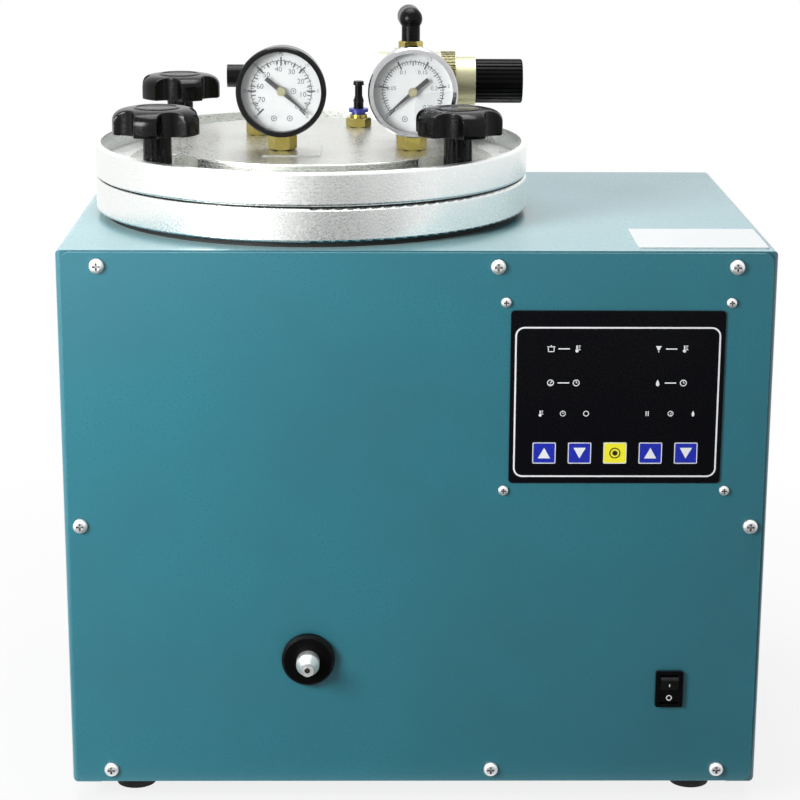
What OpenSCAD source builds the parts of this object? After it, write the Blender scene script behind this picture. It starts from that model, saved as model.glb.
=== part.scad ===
// Bench wax injector: a heated wax pot with a clamped lid, in a sheet-metal case.
// A push-in nozzle and the control keys are on the front. Millimetres, +Z up.
// The origin is on the floor, under the middle of the whole outline.

/* [Case] */
// Width of the case
case_w = 380; // [360:5:460]
// Height of the case without its feet
case_h = 301; // [295:1:340]
// Depth of the case
case_d = 261; // [256:1:320]
// Thickness of the sheet metal
sheet_t = 1.5; // [1.2:0.1:2]
// Width of the cover's inward flanges
flange_w = 16; // [14:1:20]
// Outside radius of the cover's bends
bend_r = 3; // [2.2:0.2:5]
// Strip of the cover that shows beside the front and back panels
panel_inset = 2.7; // [1:0.1:5]
// Gap between the front and back panels and the case's top and bottom
panel_top_gap = 0.9; // [0.3:0.1:3]
// Corner radius of the front and back panels
panel_corner_r = 5; // [2:0.5:8]

/* [Feet] */
// Height of a foot below the case
foot_h = 12; // [6:1:20]
// Diameter of a foot at the floor
foot_d = 22; // [18:1:28]
// How much wider a foot is at its top
foot_flare = 3; // [0:0.5:6]
// Thickness of the rubber under a foot's screw
foot_web = 3.9; // [2:0.1:5]
// Distance from the case's side to a foot's centre
foot_in_x = 32.5; // [28:0.5:60]
// Distance from the case's front or back to a foot's centre
foot_in_y = 30; // [20:1:60]

/* [Case screws] */
// Shank diameter of the case screws
screw_d = 4; // [3:0.5:4]
// Shank length of the case screws
screw_l = 8; // [7:0.5:10]
// Head diameter of the case screws
screw_head_d = 8; // [6.5:0.5:9]
// Head height of the case screws
screw_head_h = 2.8; // [2:0.2:3.2]
// Distance of the corner screws from the case's sides
screw_in = 22; // [18:1:30]
// Place of the middle screw across the case
screw_mid_x = 42.5; // [0:0.5:60]
// Distance of the outer screws from the case's top and bottom edges
screw_edge = 8.2; // [7.5:0.1:10]
// Distance of the side screws from the case's sides
screw_side_in = 9.1; // [8:0.1:11]
// Height of the two side screws above the case's bottom
screw_side_z = 150; // [100:5:200]
// Distance between the screws under the case, front to back
under_dy = 104; // [60:2:140]
// How round the screw heads are, as a share of their height
head_round = 0.7; // [0.3:0.1:0.9]
// Gap around a screw's shank
screw_gap = 0.1; // [0.05:0.05:0.3]
// Depth of the cross in a screw's head
cross_depth = 1.2; // [0.6:0.1:1.5]

/* [Wax pot] */
// Place of the pot's axis across the case
pot_x = -58.5; // [-70:0.5:-50]
// Distance of the pot's axis behind the front panel
pot_y = 128; // [124:1:134]
// Outside radius of the pot
pot_r = 80; // [70:1:82]
// Wall of the pot
pot_wall = 4; // [3:0.5:6]
// Thickness of the pot's floor
pot_floor = 5; // [4:0.5:8]
// Height of the pot's underside above the case's bottom
pot_z = 50; // [46:1:54]
// Outside radius of the pot's flange and of the lid
lid_r = 123; // [120:0.5:125]
// Height of the pot's flange
ring_h = 18.5; // [14:0.5:24]
// Thickness of the insulating ring under the flange
gasket_t = 3; // [2:0.5:4]
// Inner radius of the insulating ring
gasket_in_r = 86; // [84:1:90]
// Outer radius of the insulating ring
gasket_out_r = 118; // [112:1:120]
// Circle of the screws that hold the flange
flange_screw_r = 104; // [102:0.5:108]
// Number of screws that hold the flange
flange_screws = 6; // [3:1:10]
// Rounding of the flange's and the lid's outer edges
ring_round = 1.6; // [0.5:0.1:3]

/* [Heater] */
// Thickness of the band heater
heater_t = 2; // [1:0.5:3]
// Height of the band heater's lower edge above the case's bottom
heater_z = 104; // [98:1:120]
// Height of the band heater
heater_h = 150; // [80:5:180]
// Width of the gap that the band heater's clamp closes
heater_gap = 12; // [6:1:20]
// Radial space between the wrapped pieces
wrap_gap = 0.3; // [0.2:0.1:0.5]
// Thickness of the glass-wool jacket
wool_t = 10; // [6:1:11]

/* [Lid] */
// Gap between the flange and the lid, filled by the seal
seal_gap = 0.6; // [0.4:0.1:1.2]
// Depth of the seal's groove in the flange
groove_h = 2.4; // [1.5:0.1:4]
// Inner radius of the seal
seal_in_r = 86; // [84:0.5:90]
// Radial width of the seal
seal_w = 5; // [3:0.5:8]
// Thickness of the lid under its channel
lid_t = 7.5; // [5:0.5:10]
// Height of the lid's rim above its underside
lid_h = 18.2; // [16:0.1:24]
// Thickness of the lid's rim
rim_t = 3; // [2:0.1:4]
// Radius of the lid's raised middle
plateau_r = 92.3; // [88:0.1:98]
// How far the raised middle stays below the rim
plateau_drop = 0.7; // [0:0.1:3]
// Radius of the pockets around the clamp knobs
pocket_r = 22; // [14:0.5:24]
// Rounding of the raised middle's edge
plateau_round = 1; // [0.5:0.1:2]
// Radial gap between the lid's centring step and the pot
spigot_gap = 0.5; // [0.2:0.1:2]
// Depth of the lid's centring step
spigot_h = 3; // [1:0.5:6]

/* [Clamp knobs] */
// Distance of a clamp knob's axis from the pot's axis, across
knob_x = 81.1; // [78:0.1:82]
// Distance of a clamp knob's axis from the pot's axis, front to back
knob_y = 75.8; // [74:0.1:76]
// Diameter over the knob's lobes
star_d = 48; // [40:1:48]
// Number of lobes
lobes = 5; // [3:1:7]
// Radius of a finger scallop between two lobes
scallop_r = 9; // [6:0.5:10]
// Distance of a scallop's bottom from the knob's axis
valley_r = 17.5; // [15:0.5:20]
// Height of the knob's head
star_h = 12.9; // [11:0.1:15]
// Height of a lobe's straight edge
skirt_h = 6.6; // [4:0.2:9]
// Rounding under the lobes
star_round = 1.2; // [0.5:0.1:2]
// Radius of the raised disc on the knob
disc_r = 12.5; // [10:0.5:14]
// Width of the disc's rim
disc_rim = 1.6; // [1:0.1:3]
// Height of the disc's rim, above the head and above the disc
disc_h = 0.5; // [0.3:0.1:1]
// Height of the knob's hub above its washer
hub_h = 24.4; // [22:0.1:28]
// Diameter of the knob's hub
hub_d = 15.6; // [12:0.1:16]
// Diameter of the knob's stud
stud_d = 8; // [6:0.5:8]
// Thread pitch of the stud
stud_pitch = 1.25; // [1:0.05:1.5]
// Turns that free the stud from the flange
stud_turns = 6; // [4:1:8]
// Gap around the stud
stud_gap = 0.25; // [0.1:0.05:0.4]
// Diameter of the washer under a knob
washer_d = 16; // [14:0.5:16]
// Thickness of the washer under a knob
washer_t = 1.5; // [1:0.1:2]

/* [Gauges] */
// Outside diameter of a gauge's rim
gauge_d = 49.5; // [44:0.5:50]
// Depth of a gauge
gauge_depth = 24; // [22:1:26]
// Depth of a gauge's wide rim
gauge_rim = 7; // [5:0.5:9]
// Chamfer of a gauge's front edge
gauge_chamfer = 0.8; // [0.3:0.1:1.2]
// How much smaller the case behind the rim is, in radius
gauge_step = 1.4; // [0.8:0.1:3]
// Wall of a gauge's case
gauge_wall = 1.2; // [0.8:0.1:2]
// Radial width of the lip in front of the window
gauge_lip = 2.9; // [2:0.1:4]
// Thickness of the lip in front of the window
gauge_lip_t = 1.6; // [1:0.1:2.5]
// Thickness of the window
lens_t = 1.4; // [1:0.1:2]
// Distance from the window's back to the dial
dial_space = 3.2; // [2.8:0.1:4]
// Thickness of the dial
dial_t = 0.8; // [0.5:0.1:1.2]
// Height of a gauge's centre above the lid's raised middle
gauge_z = 33; // [30:0.5:36]
// Distance from a gauge's front to its stem
stem_back = 15; // [13:0.5:16]
// Vacuum gauge's stem: place across, from the pot's axis
vac_x = -15.1; // [-30:0.1:-5]
// Vacuum gauge's stem: place front to back, from the pot's axis
vac_y = -40.5; // [-45:0.5:-35]
// Pressure gauge's stem: place across, from the pot's axis
prs_x = 57.1; // [50:0.1:62]
// Pressure gauge's stem: place front to back, from the pot's axis
prs_y = -34.5; // [-35:0.5:-30]
// Length of a pointer's thin end
needle_l = 19.5; // [12:0.5:19.5]
// Length of a pointer's wide end
needle_tail = 11; // [6:0.5:14]
// Width of a pointer's wide end
needle_w = 2.4; // [1.5:0.1:3.5]
// Width of a pointer at its thin end
needle_point = 0.3; // [0.2:0.1:1]
// Diameter of a pointer's hub
needle_hub_d = 5; // [4:0.5:7]
// Angle of a resting pointer below the level line
needle_rest = 40.4; // [30:0.1:50]
// Width across the flats of a gauge's nut
gauge_nut_af = 14; // [12:0.5:17]
// Height of a gauge's nut
gauge_nut_h = 8; // [6:0.5:8]
// How far the stem reaches into a gauge's case
stem_in = 4; // [2:0.5:8]
// Diameter of a gauge's stem
stem_d = 9.6; // [8:0.1:11]
// Side of the raised pad under the vacuum gauge, across
pad_w = 31.6; // [20:0.1:36]
// Side of the raised pad under the vacuum gauge, front to back
pad_l = 44; // [30:1:50]
// Height of the raised pad
pad_h = 1; // [0.4:0.1:1.4]

/* [Regulator] */
// Place across of the regulator's ports, from the pot's axis
reg_x = 56.5; // [50:0.5:62]
// Place front to back of the regulator's axis, from the pot's axis
reg_y = -1; // [-1:0.5:6]
// Height of the regulator's axis above the lid's raised middle
reg_z = 34; // [30:0.5:38]
// Radius of the regulator's body
reg_r = 16; // [14:0.5:16.5]
// Body length on the left of its ports
reg_left = 18; // [12:1:22]
// Body length on the right of its ports
reg_right = 17; // [14:0.5:20]
// Outer radius of the knurled lock nut
lock_r = 16.7; // [15.5:0.1:18]
// Length of the lock nut
lock_l = 8.1; // [5:0.1:9]
// Ribs on the lock nut
lock_ribs = 44; // [24:1:56]
// Depth of the lock nut's ribs
lock_rib_depth = 0.5; // [0.2:0.1:0.8]
// Radius of the bonnet
bonnet_r = 13.5; // [12.5:0.1:14.5]
// Length of the bonnet
bonnet_l = 19.5; // [17:0.5:24]
// Wall of the bonnet
bonnet_wall = 2.5; // [2:0.1:4]
// Radius of the bonnet's neck inside the knob
neck_r = 7.5; // [6:0.5:8.5]
// Length of the bonnet's neck
neck_l = 8; // [4:0.5:9]
// Radius of the regulator's knob
reg_knob_r = 12.4; // [11:0.1:13]
// Length of the regulator's knob
reg_knob_l = 26.5; // [22:0.5:32]
// Thickness of the knob's closed end
reg_knob_cap = 6; // [4:0.5:10]
// Rounding of the knob's closed end
reg_knob_round = 1.2; // [0.5:0.1:3]
// Gap between the knob and the bonnet's neck
neck_gap = 1; // [0.5:0.1:2]
// Ribs on the regulator's knob
reg_ribs = 30; // [16:1:40]
// Depth of the knob's ribs
rib_depth = 0.7; // [0.3:0.1:1]
// Length that the knob is pulled out to unlock it
pull_travel = 2.5; // [1:0.5:4]
// Radius of the regulator's spindle
spindle_r = 3; // [2.5:0.1:4]
// Running gap of shafts in their bores
run_gap = 0.08; // [0.03:0.01:0.1]
// Width of the regulator's flat port bosses
boss_w = 18; // [14:0.5:20]
// Height of a port boss beyond the body
boss_h = 1.6; // [1:0.1:2.5]

/* [Fittings] */
// Width across the flats of a fitting's hexagon
fit_af = 12; // [10:0.5:14]
// Height of the hexagon under the air elbow
elbow_hex_h = 5; // [4:0.5:8]
// Radius of an elbow's upright part
elbow_up_r = 5.2; // [4.5:0.1:6]
// Radius of an elbow's level part
elbow_r = 6.5; // [5.5:0.1:7.5]
// Height of an elbow's level axis above its hexagon
elbow_rise = 12.2; // [10:0.1:16]
// Length of an elbow's level part, from its upright axis
elbow_reach = 17.5; // [16:0.5:26]
// Bore radius of the hose ports
port_r = 4.05; // [3:0.05:4.3]
// Depth of the hose ports
port_depth = 13; // [8:0.5:14]
// Turn of the air elbow, its open end counted from the back to the left
elbow_turn = 3; // [0:1:20]
// Vacuum elbow: place across, from the pot's axis
vac_elbow_x = -31.5; // [-36:0.5:-28]
// Vacuum elbow: place front to back, from the pot's axis
vac_elbow_y = 22; // [16:0.5:30]
// Height of the brass riser under the vacuum elbow
riser_h = 21.5; // [12:0.5:26]
// Push-in fitting: place across, from the pot's axis
relief_x = 26.6; // [22:0.1:30]
// Push-in fitting: place front to back, from the pot's axis
relief_y = 55; // [48:0.5:60]
// Push-in fitting: width across the flats
relief_af = 13; // [11:0.5:15]
// Push-in fitting: height of its hexagon
relief_hex_h = 5.4; // [4:0.1:8]
// Push-in fitting: height of its round shoulder
relief_neck_h = 2; // [1.5:0.1:4]
// Push-in fitting: radius of its round shoulder
relief_neck_r = 5.2; // [5:0.1:5.5]
// Release collar: radius
collar_r = 5.8; // [5:0.1:7]
// Release collar: thickness
collar_t = 2; // [1.2:0.1:3]
// Release collar: travel
collar_travel = 1; // [0.6:0.1:1.2]
// Release collar: radius of its sleeve
sleeve_r = 4.1; // [3.8:0.1:4.3]
// Release collar: length of its sleeve
sleeve_l = 4; // [3:0.5:6]
// Barbed plug: radius of its round end in the fitting
plug_r = 2.9; // [2.4:0.1:3]
// Barbed plug: height of its top above the lid's raised middle
plug_top = 26.9; // [20:0.1:30]
// Barbed plug: depth below the lid's raised middle
plug_in = 3; // [1:0.5:5]
// Barbed plug: length of its thin stem
plug_stem_l = 12; // [8:0.5:14]
// Barbed plug: radius of its thin stem
plug_stem_r = 2.2; // [1.5:0.1:2.4]
// Barbed plug: radius of its barb and top
plug_barb_r = 3.3; // [2.8:0.1:4]
// Depth of the threaded ports in the lid
thread_l = 7; // [5:0.5:10]
// Radius of the threaded ports in the lid
thread_r = 4.8; // [4:0.1:5.5]

/* [Nozzle] */
// Height of the nozzle's axis above the case's bottom
noz_z = 73.9; // [72:0.1:76]
// How far the nozzle stands out of the front panel
noz_reach = 19; // [16:0.5:24]
// Radius of the nozzle's barrel
noz_r = 6.3; // [5:0.1:7]
// Length of the nozzle's cone
cone_l = 6; // [4:0.5:8]
// Radius of the nozzle's tip
tip_r = 3.5; // [2.5:0.1:4]
// Length of the nozzle's tip
tip_l = 2; // [1.5:0.1:3]
// Radius of the wax bore
wax_r = 1; // [0.6:0.1:1.5]
// Radius of the screwed spigot under the tip
tip_thread_r = 2.1; // [1.8:0.1:2.4]
// Radius of the black bush
bush_r = 14.4; // [13:0.1:18]
// How far the bush stands out of the panel
bush_t = 5; // [3:0.5:7]
// Chamfer of the bush's front edge
bush_chamfer = 1; // [0.4:0.1:2]
// Radius of the bush inside the panel
bush_in_r = 11; // [9:0.5:12]
// Length of the bush inside the panel
bush_in_l = 12; // [8:0.5:13]
// Radius of the nozzle's collar
push_r = 11; // [10:0.5:12]
// Thickness of the nozzle's collar
push_t = 2.7; // [2:0.1:4]
// Travel of the nozzle when a mould is pressed on it
push_travel = 3; // [2:0.5:4]
// Radius of the nozzle's tail in its block
tail_r = 5; // [4:0.5:6]
// Distance of the nozzle block behind the front panel
block_y = 30; // [29:0.5:32]
// Width of the nozzle block
block_w = 40; // [34:1:44]
// Height of the nozzle block
block_h = 34; // [30:1:38]
// Depth of the tail's bore in the block
block_bore = 14; // [12:0.5:15]
// Radius of the wax passage behind the nozzle
duct_r = 3.5; // [2:0.5:4]
// Radius of the return spring
spring_r = 8.4; // [7.5:0.1:8.8]
// Wire thickness of the return spring
spring_wire = 1.2; // [0.8:0.1:1.5]
// Radius of the cartridge heater
cartridge_r = 4; // [3:0.5:5]
// Height of the cartridge heater above the nozzle's axis
cartridge_up = 11; // [10:0.5:12]
// How far the cartridge heater stands out of the block
cartridge_out = 5; // [3:0.5:8]
// Radius of the temperature probes
probe_r = 2.5; // [1.5:0.5:3]
// Depth of the probe's hole in the nozzle block
probe_in = 10; // [6:0.5:14]
// Length of the temperature probes
probe_l = 26; // [20:1:30]

/* [Controls] */
// Distance of the control overlay's centre from the case's right side
ctl_in = 83.6; // [80:0.1:88]
// Distance of the control overlay's centre below the case's top
ctl_down = 79; // [72:1:100]
// Width of the control overlay
ctl_w = 113.6; // [110:0.1:116]
// Height of the control overlay
ctl_h = 94.8; // [90:0.1:98]
// Thickness of the control overlay
ctl_t = 0.8; // [0.5:0.1:1.5]
// Corner radius of the control overlay
ctl_r = 2; // [1:0.5:6]
// Spacing across of the small screws
small_dx = 119; // [119:0.5:122]
// Spacing up and down of the small screws
small_dz = 103.4; // [102:0.2:106]
// Shank diameter of the small screws
small_d = 3; // [2:0.5:3]
// Head diameter of the small screws
small_head_d = 5.5; // [4.5:0.5:6]
// Head height of the small screws
small_head_h = 2; // [1.2:0.2:2.4]
// Distance from the front panel's back to the control board
board_gap = 8; // [7:0.5:12]
// Thickness of the control board
board_t = 1.6; // [1.2:0.2:2]
// Number of keys
keys = 5; // [1:1:5]
// Distance between the keys' centres
key_pitch = 19; // [17:0.1:20]
// Width of a key
key_w = 12.4; // [10:0.1:13]
// Height of a key
key_h = 11.7; // [9:0.1:13]
// Height of the keys' centres below the overlay's centre
key_drop = 30.6; // [26:0.1:34]
// Thickness of a key
key_t = 1.6; // [1.2:0.1:2]
// Corner radius of a key
key_r = 0.8; // [0.3:0.1:2]
// How far a key stands out of the overlay
key_proud = 0.1; // [0:0.1:0.6]
// Travel of a key
key_travel = 0.4; // [0.2:0.1:0.5]
// Gap around a key
key_gap = 0.3; // [0.2:0.05:0.5]
// Width of a display module
disp_w = 33; // [26:1:36]
// Height of a display module
disp_h = 11; // [8:1:14]
// Distance across between the display modules
disp_dx = 57; // [50:1:60]
// Height of the display rows above the overlay's centre
disp_z = [17, -1.5]; // [-4:0.5:30]
// Height of the row of lamps below the overlay's centre
lamp_drop = 16; // [12:0.5:18]
// Distance of the lamps from the overlay's centre
lamp_x = [-40, -27.5, -15, 17, 29.5, 42]; // [-46:0.5:46]
// Radius of a lamp
lamp_r = 1.5; // [1:0.1:2]

/* [Power switch] */
// Distance of the switch's centre from the case's right side
sw_in = 49.8; // [40:0.1:70]
// Centre of the switch above the case's bottom
sw_z = 56.1; // [45:0.1:80]
// Width of the switch's frame
sw_w = 15.1; // [14:0.1:18]
// Height of the switch's frame
sw_h = 20.9; // [20:0.1:24]
// Corner radius of the switch's frame
sw_corner_r = 1.2; // [0.5:0.1:2]
// Thickness of the switch's frame
sw_t = 2; // [1.5:0.1:3]
// Depth of the switch's body behind the panel
sw_depth = 14; // [12:0.5:18]
// Width of the rocker
rocker_w = 9.8; // [8:0.1:10.5]
// Radius of the rocker's ends about its pin
rocker_r = 8.3; // [7.5:0.1:8.4]
// Angle of the rocker from its middle place
rocker_tilt = 10; // [6:1:12]
// Depth of the rocker's pin behind the panel's front
rocker_pin_y = 2; // [1.5:0.1:3]
// How far the rocker's ends stand before the panel when level
rocker_proud = 3.2; // [2.6:0.1:3.6]
// How far the rocker's middle is hollowed
rocker_dip = 1.8; // [1:0.1:2.2]

/* [Inside and back] */
// Width of the transformer
trafo_w = 66; // [50:1:70]
// Depth of the transformer
trafo_d = 56; // [40:1:60]
// Height of the transformer
trafo_h = 58; // [40:1:60]
// Distance of the transformer's middle from the case's right side
trafo_in = 62; // [50:1:80]
// Room between the transformer and the valves behind it
trafo_gap = 9; // [6:0.5:20]
// Width of the transformer's outer legs
trafo_leg = 10; // [6:1:14]
// How far the winding stands out of the transformer's core
winding_out = 8; // [4:1:14]
// Width of a solenoid valve
valve_w = 24; // [18:1:28]
// Place of the first solenoid valve across the case
valve_x = 58; // [50:1:64]
// Distance between the solenoid valves
valve_dx = 32; // [29:1:36]
// Distance of the solenoid valves from the back of the case
valve_in = 22; // [19:1:24]
// Length of a solenoid valve's block
valve_l = 34; // [26:1:38]
// Height of a solenoid valve's block
valve_h = 26; // [20:1:30]
// Radius of a solenoid coil
coil_r = 12; // [9:0.5:12]
// Height of a solenoid coil
coil_h = 30; // [20:1:34]
// Width of the mains inlet's flange
inlet_w = 48; // [40:1:50]
// Height of the mains inlet's flange
inlet_h = 28; // [24:1:31]
// Distance of the mains inlet's centre from the case's right side
inlet_in = 58; // [40:1:80]
// Centre of the mains inlet above the case's bottom
inlet_z = 42; // [36:1:60]
// Thickness of the mains inlet's flange
inlet_t = 3; // [2:0.5:4]
// Width of the flange beside the mains inlet's body
inlet_ear = 10; // [6:1:12]
// Wall of the mains inlet's body
inlet_wall = 2.2; // [1.5:0.1:3]
// Width of a contact blade
blade_w = 2; // [1.5:0.1:2.5]
// Distance between the contact blades
blade_dx = 7; // [5:0.5:8]
// Length of a contact blade
blade_l = 13; // [8:0.5:14]
// Depth of the mains inlet's socket
socket_depth = 17; // [14:1:18]
// How far the rear ports stand out of the back panel
rear_reach = 22; // [18:1:30]
// Radius of a rear port's body
rear_r = 8; // [6.5:0.5:9]
// Length of a rear port's hexagon
rear_hex_l = 7; // [4:0.5:8]
// How much smaller a rear port is behind its hexagon, in radius
rear_step = 1; // [0.5:0.1:1.5]
// Thread radius of a rear port
rear_thread_r = 6; // [5:0.5:6.5]
// Length of a rear port inside the case
rear_in = 14; // [10:0.5:16]
// Height of a rear port's nut
rear_nut_l = 5; // [3:0.5:6]
// Centre of the rear ports across the case
rear_x = 64; // [50:1:70]
// Distance between the rear ports
rear_dx = 30; // [24:1:34]
// Height of the rear ports above the case's bottom
rear_z = 60; // [50:1:80]
// Width of the air inlet in the floor
air_w = 24; // [16:1:30]
// Length of the air inlet in the floor
air_l = 60; // [40:1:80]
// Place of the air inlet across the case
air_x = 60; // [54:1:66]
// Distance of the air inlet's middle behind the front panel
air_y = 100; // [80:1:140]
// Number of vent slots in a column
vents = 9; // [3:1:12]
// Distance between vent slots
vent_pitch = 8; // [6:0.5:10]
// Length of a vent slot
vent_l = 30; // [20:1:34]
// Height of a vent slot
vent_h = 3; // [2:0.5:4]
// Height of the lowest vent slot above the case's bottom
vent_z = 190; // [150:5:210]
// Width of the blank plate on the case's top
plate_w = 69; // [50:1:72]
// Depth of the blank plate
plate_l = 53; // [30:1:60]
// Distance of the blank plate's front edge behind the front panel
plate_y = 9.5; // [5:0.5:20]
// Distance of the blank plate from the case's right side
plate_in = 4; // [4:0.5:20]
// Thickness of the blank plate
plate_t = 0.5; // [0.3:0.1:1]

/* [Hidden] */
$fn = 96;

face_gap = 0.05;            // space between two faces that meet
foot_top = sheet_t;
foot_seat_z = foot_top - foot_web;
nut_h = 2.4;
nut_bevel = 30;             // angle of a nut's bevel
probe_y = 9;
air_r = 2.5;
seat = 0.3;                 // space left where two pieces would only brush
cut = 1;                    // overshoot of a cutting tool
front_y = -(case_d + rear_reach - noz_reach) / 2;
top_in = case_h - sheet_t;
side_in = case_w / 2 - sheet_t;
screw_x = case_w / 2 - screw_in;
ctl_x = case_w / 2 - ctl_in;
ctl_z = case_h - ctl_down;
sw_x = case_w / 2 - sw_in;
trafo_x = case_w / 2 - trafo_in;
valve_y = case_d - valve_in - valve_l;
trafo_y = valve_y - trafo_gap - trafo_d;
inlet_x = case_w / 2 - inlet_in;
screw_r = screw_d / 2;
screw_hole_r = screw_r + screw_gap;
small_r = small_d / 2;

// heights above the case's top, at the pot's axis
ring_z = gasket_t;
ring_top = ring_z + ring_h;
lid_z = ring_top + seal_gap;
floor_top = lid_z + lid_t;
rim_top = lid_z + lid_h;
plateau_z = rim_top - plateau_drop;
pot_in_r = pot_r - pot_wall;
pot_under = pot_z - case_h;
wrap_r = pot_r + wrap_gap;
jacket_in_r = wrap_r + heater_t + wrap_gap;
jacket_out_r = jacket_in_r + wool_t;
port_hole_r = thread_r + screw_gap;

// clamp knobs: side, front or back, and turn of the first lobe
knob_places = [[-1, -1, -11], [1, -1, 20], [-1, 1, 23], [1, 1, -6]];
washer_z = floor_top;
hub_z = washer_z + washer_t;
star_z = hub_z + hub_h;
// the ball of the knob's dome, through the disc's foot and the top of the straight edge
dome_foot = star_h - disc_h;
dome_z = (pow(disc_r, 2) + pow(dome_foot, 2) - pow(star_d / 2, 2) - pow(skirt_h, 2))
    / (2 * (dome_foot - skirt_h));
dome_r = norm([disc_r, dome_foot - dome_z]);
stud_lift = stud_pitch * stud_turns;
stud_r = stud_d / 2;

// gauges: distances behind a gauge's front
lens_y = gauge_lip_t;
dial_y = lens_y + lens_t + dial_space;
gauge_r = gauge_d / 2;
gauge_case_r = gauge_r - gauge_step;
gauge_in_r = gauge_case_r - gauge_wall;
dial_r = gauge_in_r - screw_gap;
pin_r = 0.8;
pin_hole_r = pin_r + 0.3;
needle_t = 0.6;
hub_t = 1.6;
gauge_up = plateau_z + gauge_z;

// regulator: distances along its axis, from its ports
reg_up = plateau_z + reg_z;
bonnet_x = reg_right;
lock_x = bonnet_x;
bonnet_end = bonnet_x + bonnet_l;
reg_knob_x = bonnet_end + seat;
spindle_x = bonnet_x + bonnet_wall + seat;
spindle_end = reg_knob_x + reg_knob_l - reg_knob_cap;
boss_z = reg_r + boss_h;

// elbows
air_hex_z = reg_up + boss_z;
air_elbow_z = air_hex_z + elbow_hex_h;
vac_elbow_z = plateau_z + riser_h;
relief_hex_z = plateau_z;
relief_top = relief_hex_z + relief_hex_h + relief_neck_h;
collar_z = relief_top + collar_travel + seat;
sleeve_gap = 0.15;
pivot_r = 3.4;
pivot_h = 5;

// nozzle: distances behind the front panel's face
collar_y = bush_in_l + seat;
spring_y = collar_y + push_t;
tail_end = block_y + block_bore - push_travel - seat;
tip_y = -noz_reach;
cone_y = tip_y + tip_l;
bush_hole_r = bush_in_r + screw_gap;
trip_w = 20;
trip_h = 6.4;
trip_plunger_r = 0.8;
trip_pin_l = 1.2;
trip_x = spring_r + 2 * seat;
trip_gap = seat;
trip_pin_y = spring_y + push_travel + trip_gap;

// controls
board_y = sheet_t + board_gap;
board_w = small_dx + 7;
board_h = small_dz + 6;
post_af = 5.5;
key_z = ctl_z - key_drop;
disp_front = sheet_t - 0.5;
key_front = -ctl_t - key_proud;
tact_r = 1.7;
tact_w = 12;
tact_h = 7;

// back
back_y = case_d;
inlet_body_w = inlet_w - 2 * inlet_ear;
inlet_body_h = inlet_h - 2 * inlet_t;

module in_case() translate([0, front_y, foot_h]) children();
module on_pot() translate([pot_x, front_y + pot_y, foot_h + case_h]) children();
module bar_y(r, y0, y1) translate([0, y0, 0]) rotate([-90, 0, 0]) cylinder(r = r, h = y1 - y0);
module bar_x(r, x0, x1) translate([x0, 0, 0]) rotate([0, 90, 0]) cylinder(r = r, h = x1 - x0);
module cone_between(ra, rb, y0, y1)
    translate([0, y0, 0]) rotate([-90, 0, 0]) cylinder(r1 = ra, r2 = rb, h = y1 - y0);
module hexagon(af, h) cylinder(d = af / cos(30), h = h, $fn = 6);

// a hexagon whose corners are turned off at both ends, as on a nut
module nut(af, h) intersection() {
    corner = af / 2 / cos(30);
    bevel = (corner - af / 2) * tan(nut_bevel);
    hexagon(af, h);
    rotate_extrude()
        polygon([[0, 0], [af / 2, 0], [corner, bevel], [corner, h - bevel], [af / 2, h], [0, h]]);
}

// a rounded rectangle with true arcs at its corners
module soft_square(w, h, r) {
    square([w - 2 * r, h], center = true);
    square([w, h - 2 * r], center = true);
    for (x = [-1, 1], y = [-1, 1])
        translate([x * (w / 2 - r), y * (h / 2 - r)]) circle(r);
}

// a flat plate that faces front, from y = 0 back to y = t
module face_plate(w, h, t, r)
    translate([0, t, 0]) rotate([90, 0, 0]) linear_extrude(t) soft_square(w, h, r);

// a profile in the YZ plane, drawn as [y, z], as wide as w about x = 0
module side_profile(w) translate([-w / 2, 0, 0]) rotate([90, 0, 90]) linear_extrude(w) children();

// ---------------------------------------------------------------- case

front_screw_places = [
    [-screw_x, case_h - screw_edge], [screw_mid_x, case_h - screw_edge],
    [screw_x, case_h - screw_edge], [-screw_x, screw_edge], [screw_mid_x, screw_edge],
    [screw_x, screw_edge], [screw_side_in - case_w / 2, screw_side_z],
    [case_w / 2 - screw_side_in, screw_side_z]];
foot_places = [for (x = [-1, 1], y = [foot_in_y, case_d - foot_in_y])
    [x * (case_w / 2 - foot_in_x), y]];
under_places = [for (x = [-1, 1], y = [-1, 1])
    [x * (case_w / 2 - flange_w / 2), (case_d + y * under_dy) / 2]];

// a case screw with its head on z = 0 and its shank going up
module case_screw() {
    translate([0, 0, -screw_head_h]) round_head(screw_head_d / 2, screw_head_h);
    cylinder(r = screw_r, h = screw_l);
}

// a pan head that goes up from its crown at z = 0
module round_head(r, h) rotate_extrude() difference() {
    square([r, h]);
    translate([r, 0]) rotate(90) corner_cut(h * head_round);
}

module screw_cross(d, depth) {
    for (a = [0, 90]) rotate(a) translate([-d / 4, -d / 16, -cut])
        cube([d / 2, d / 8, cut + depth]);
}

module driven_screw() difference() {
    case_screw();
    translate([0, 0, -screw_head_h]) screw_cross(screw_head_d, cross_depth);
}

module case_screws() color("silver") {
    in_case() {
        for (p = front_screw_places) {
            translate([p[0], 0, p[1]]) rotate([-90, 0, 0]) driven_screw();
            translate([p[0], back_y, p[1]]) rotate([90, 0, 0]) driven_screw();
        }
        for (p = under_places) translate([p[0], p[1], 0]) driven_screw();
        for (p = foot_places) translate([p[0], p[1], foot_seat_z]) driven_screw();
    }
    on_pot() for (i = [0 : flange_screws - 1]) rotate(i * 360 / flange_screws)
        translate([flange_screw_r, 0, -sheet_t]) driven_screw();
}

module screw_hole(depth) translate([0, 0, -cut]) cylinder(r = screw_hole_r, h = depth + 2 * cut);

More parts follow.
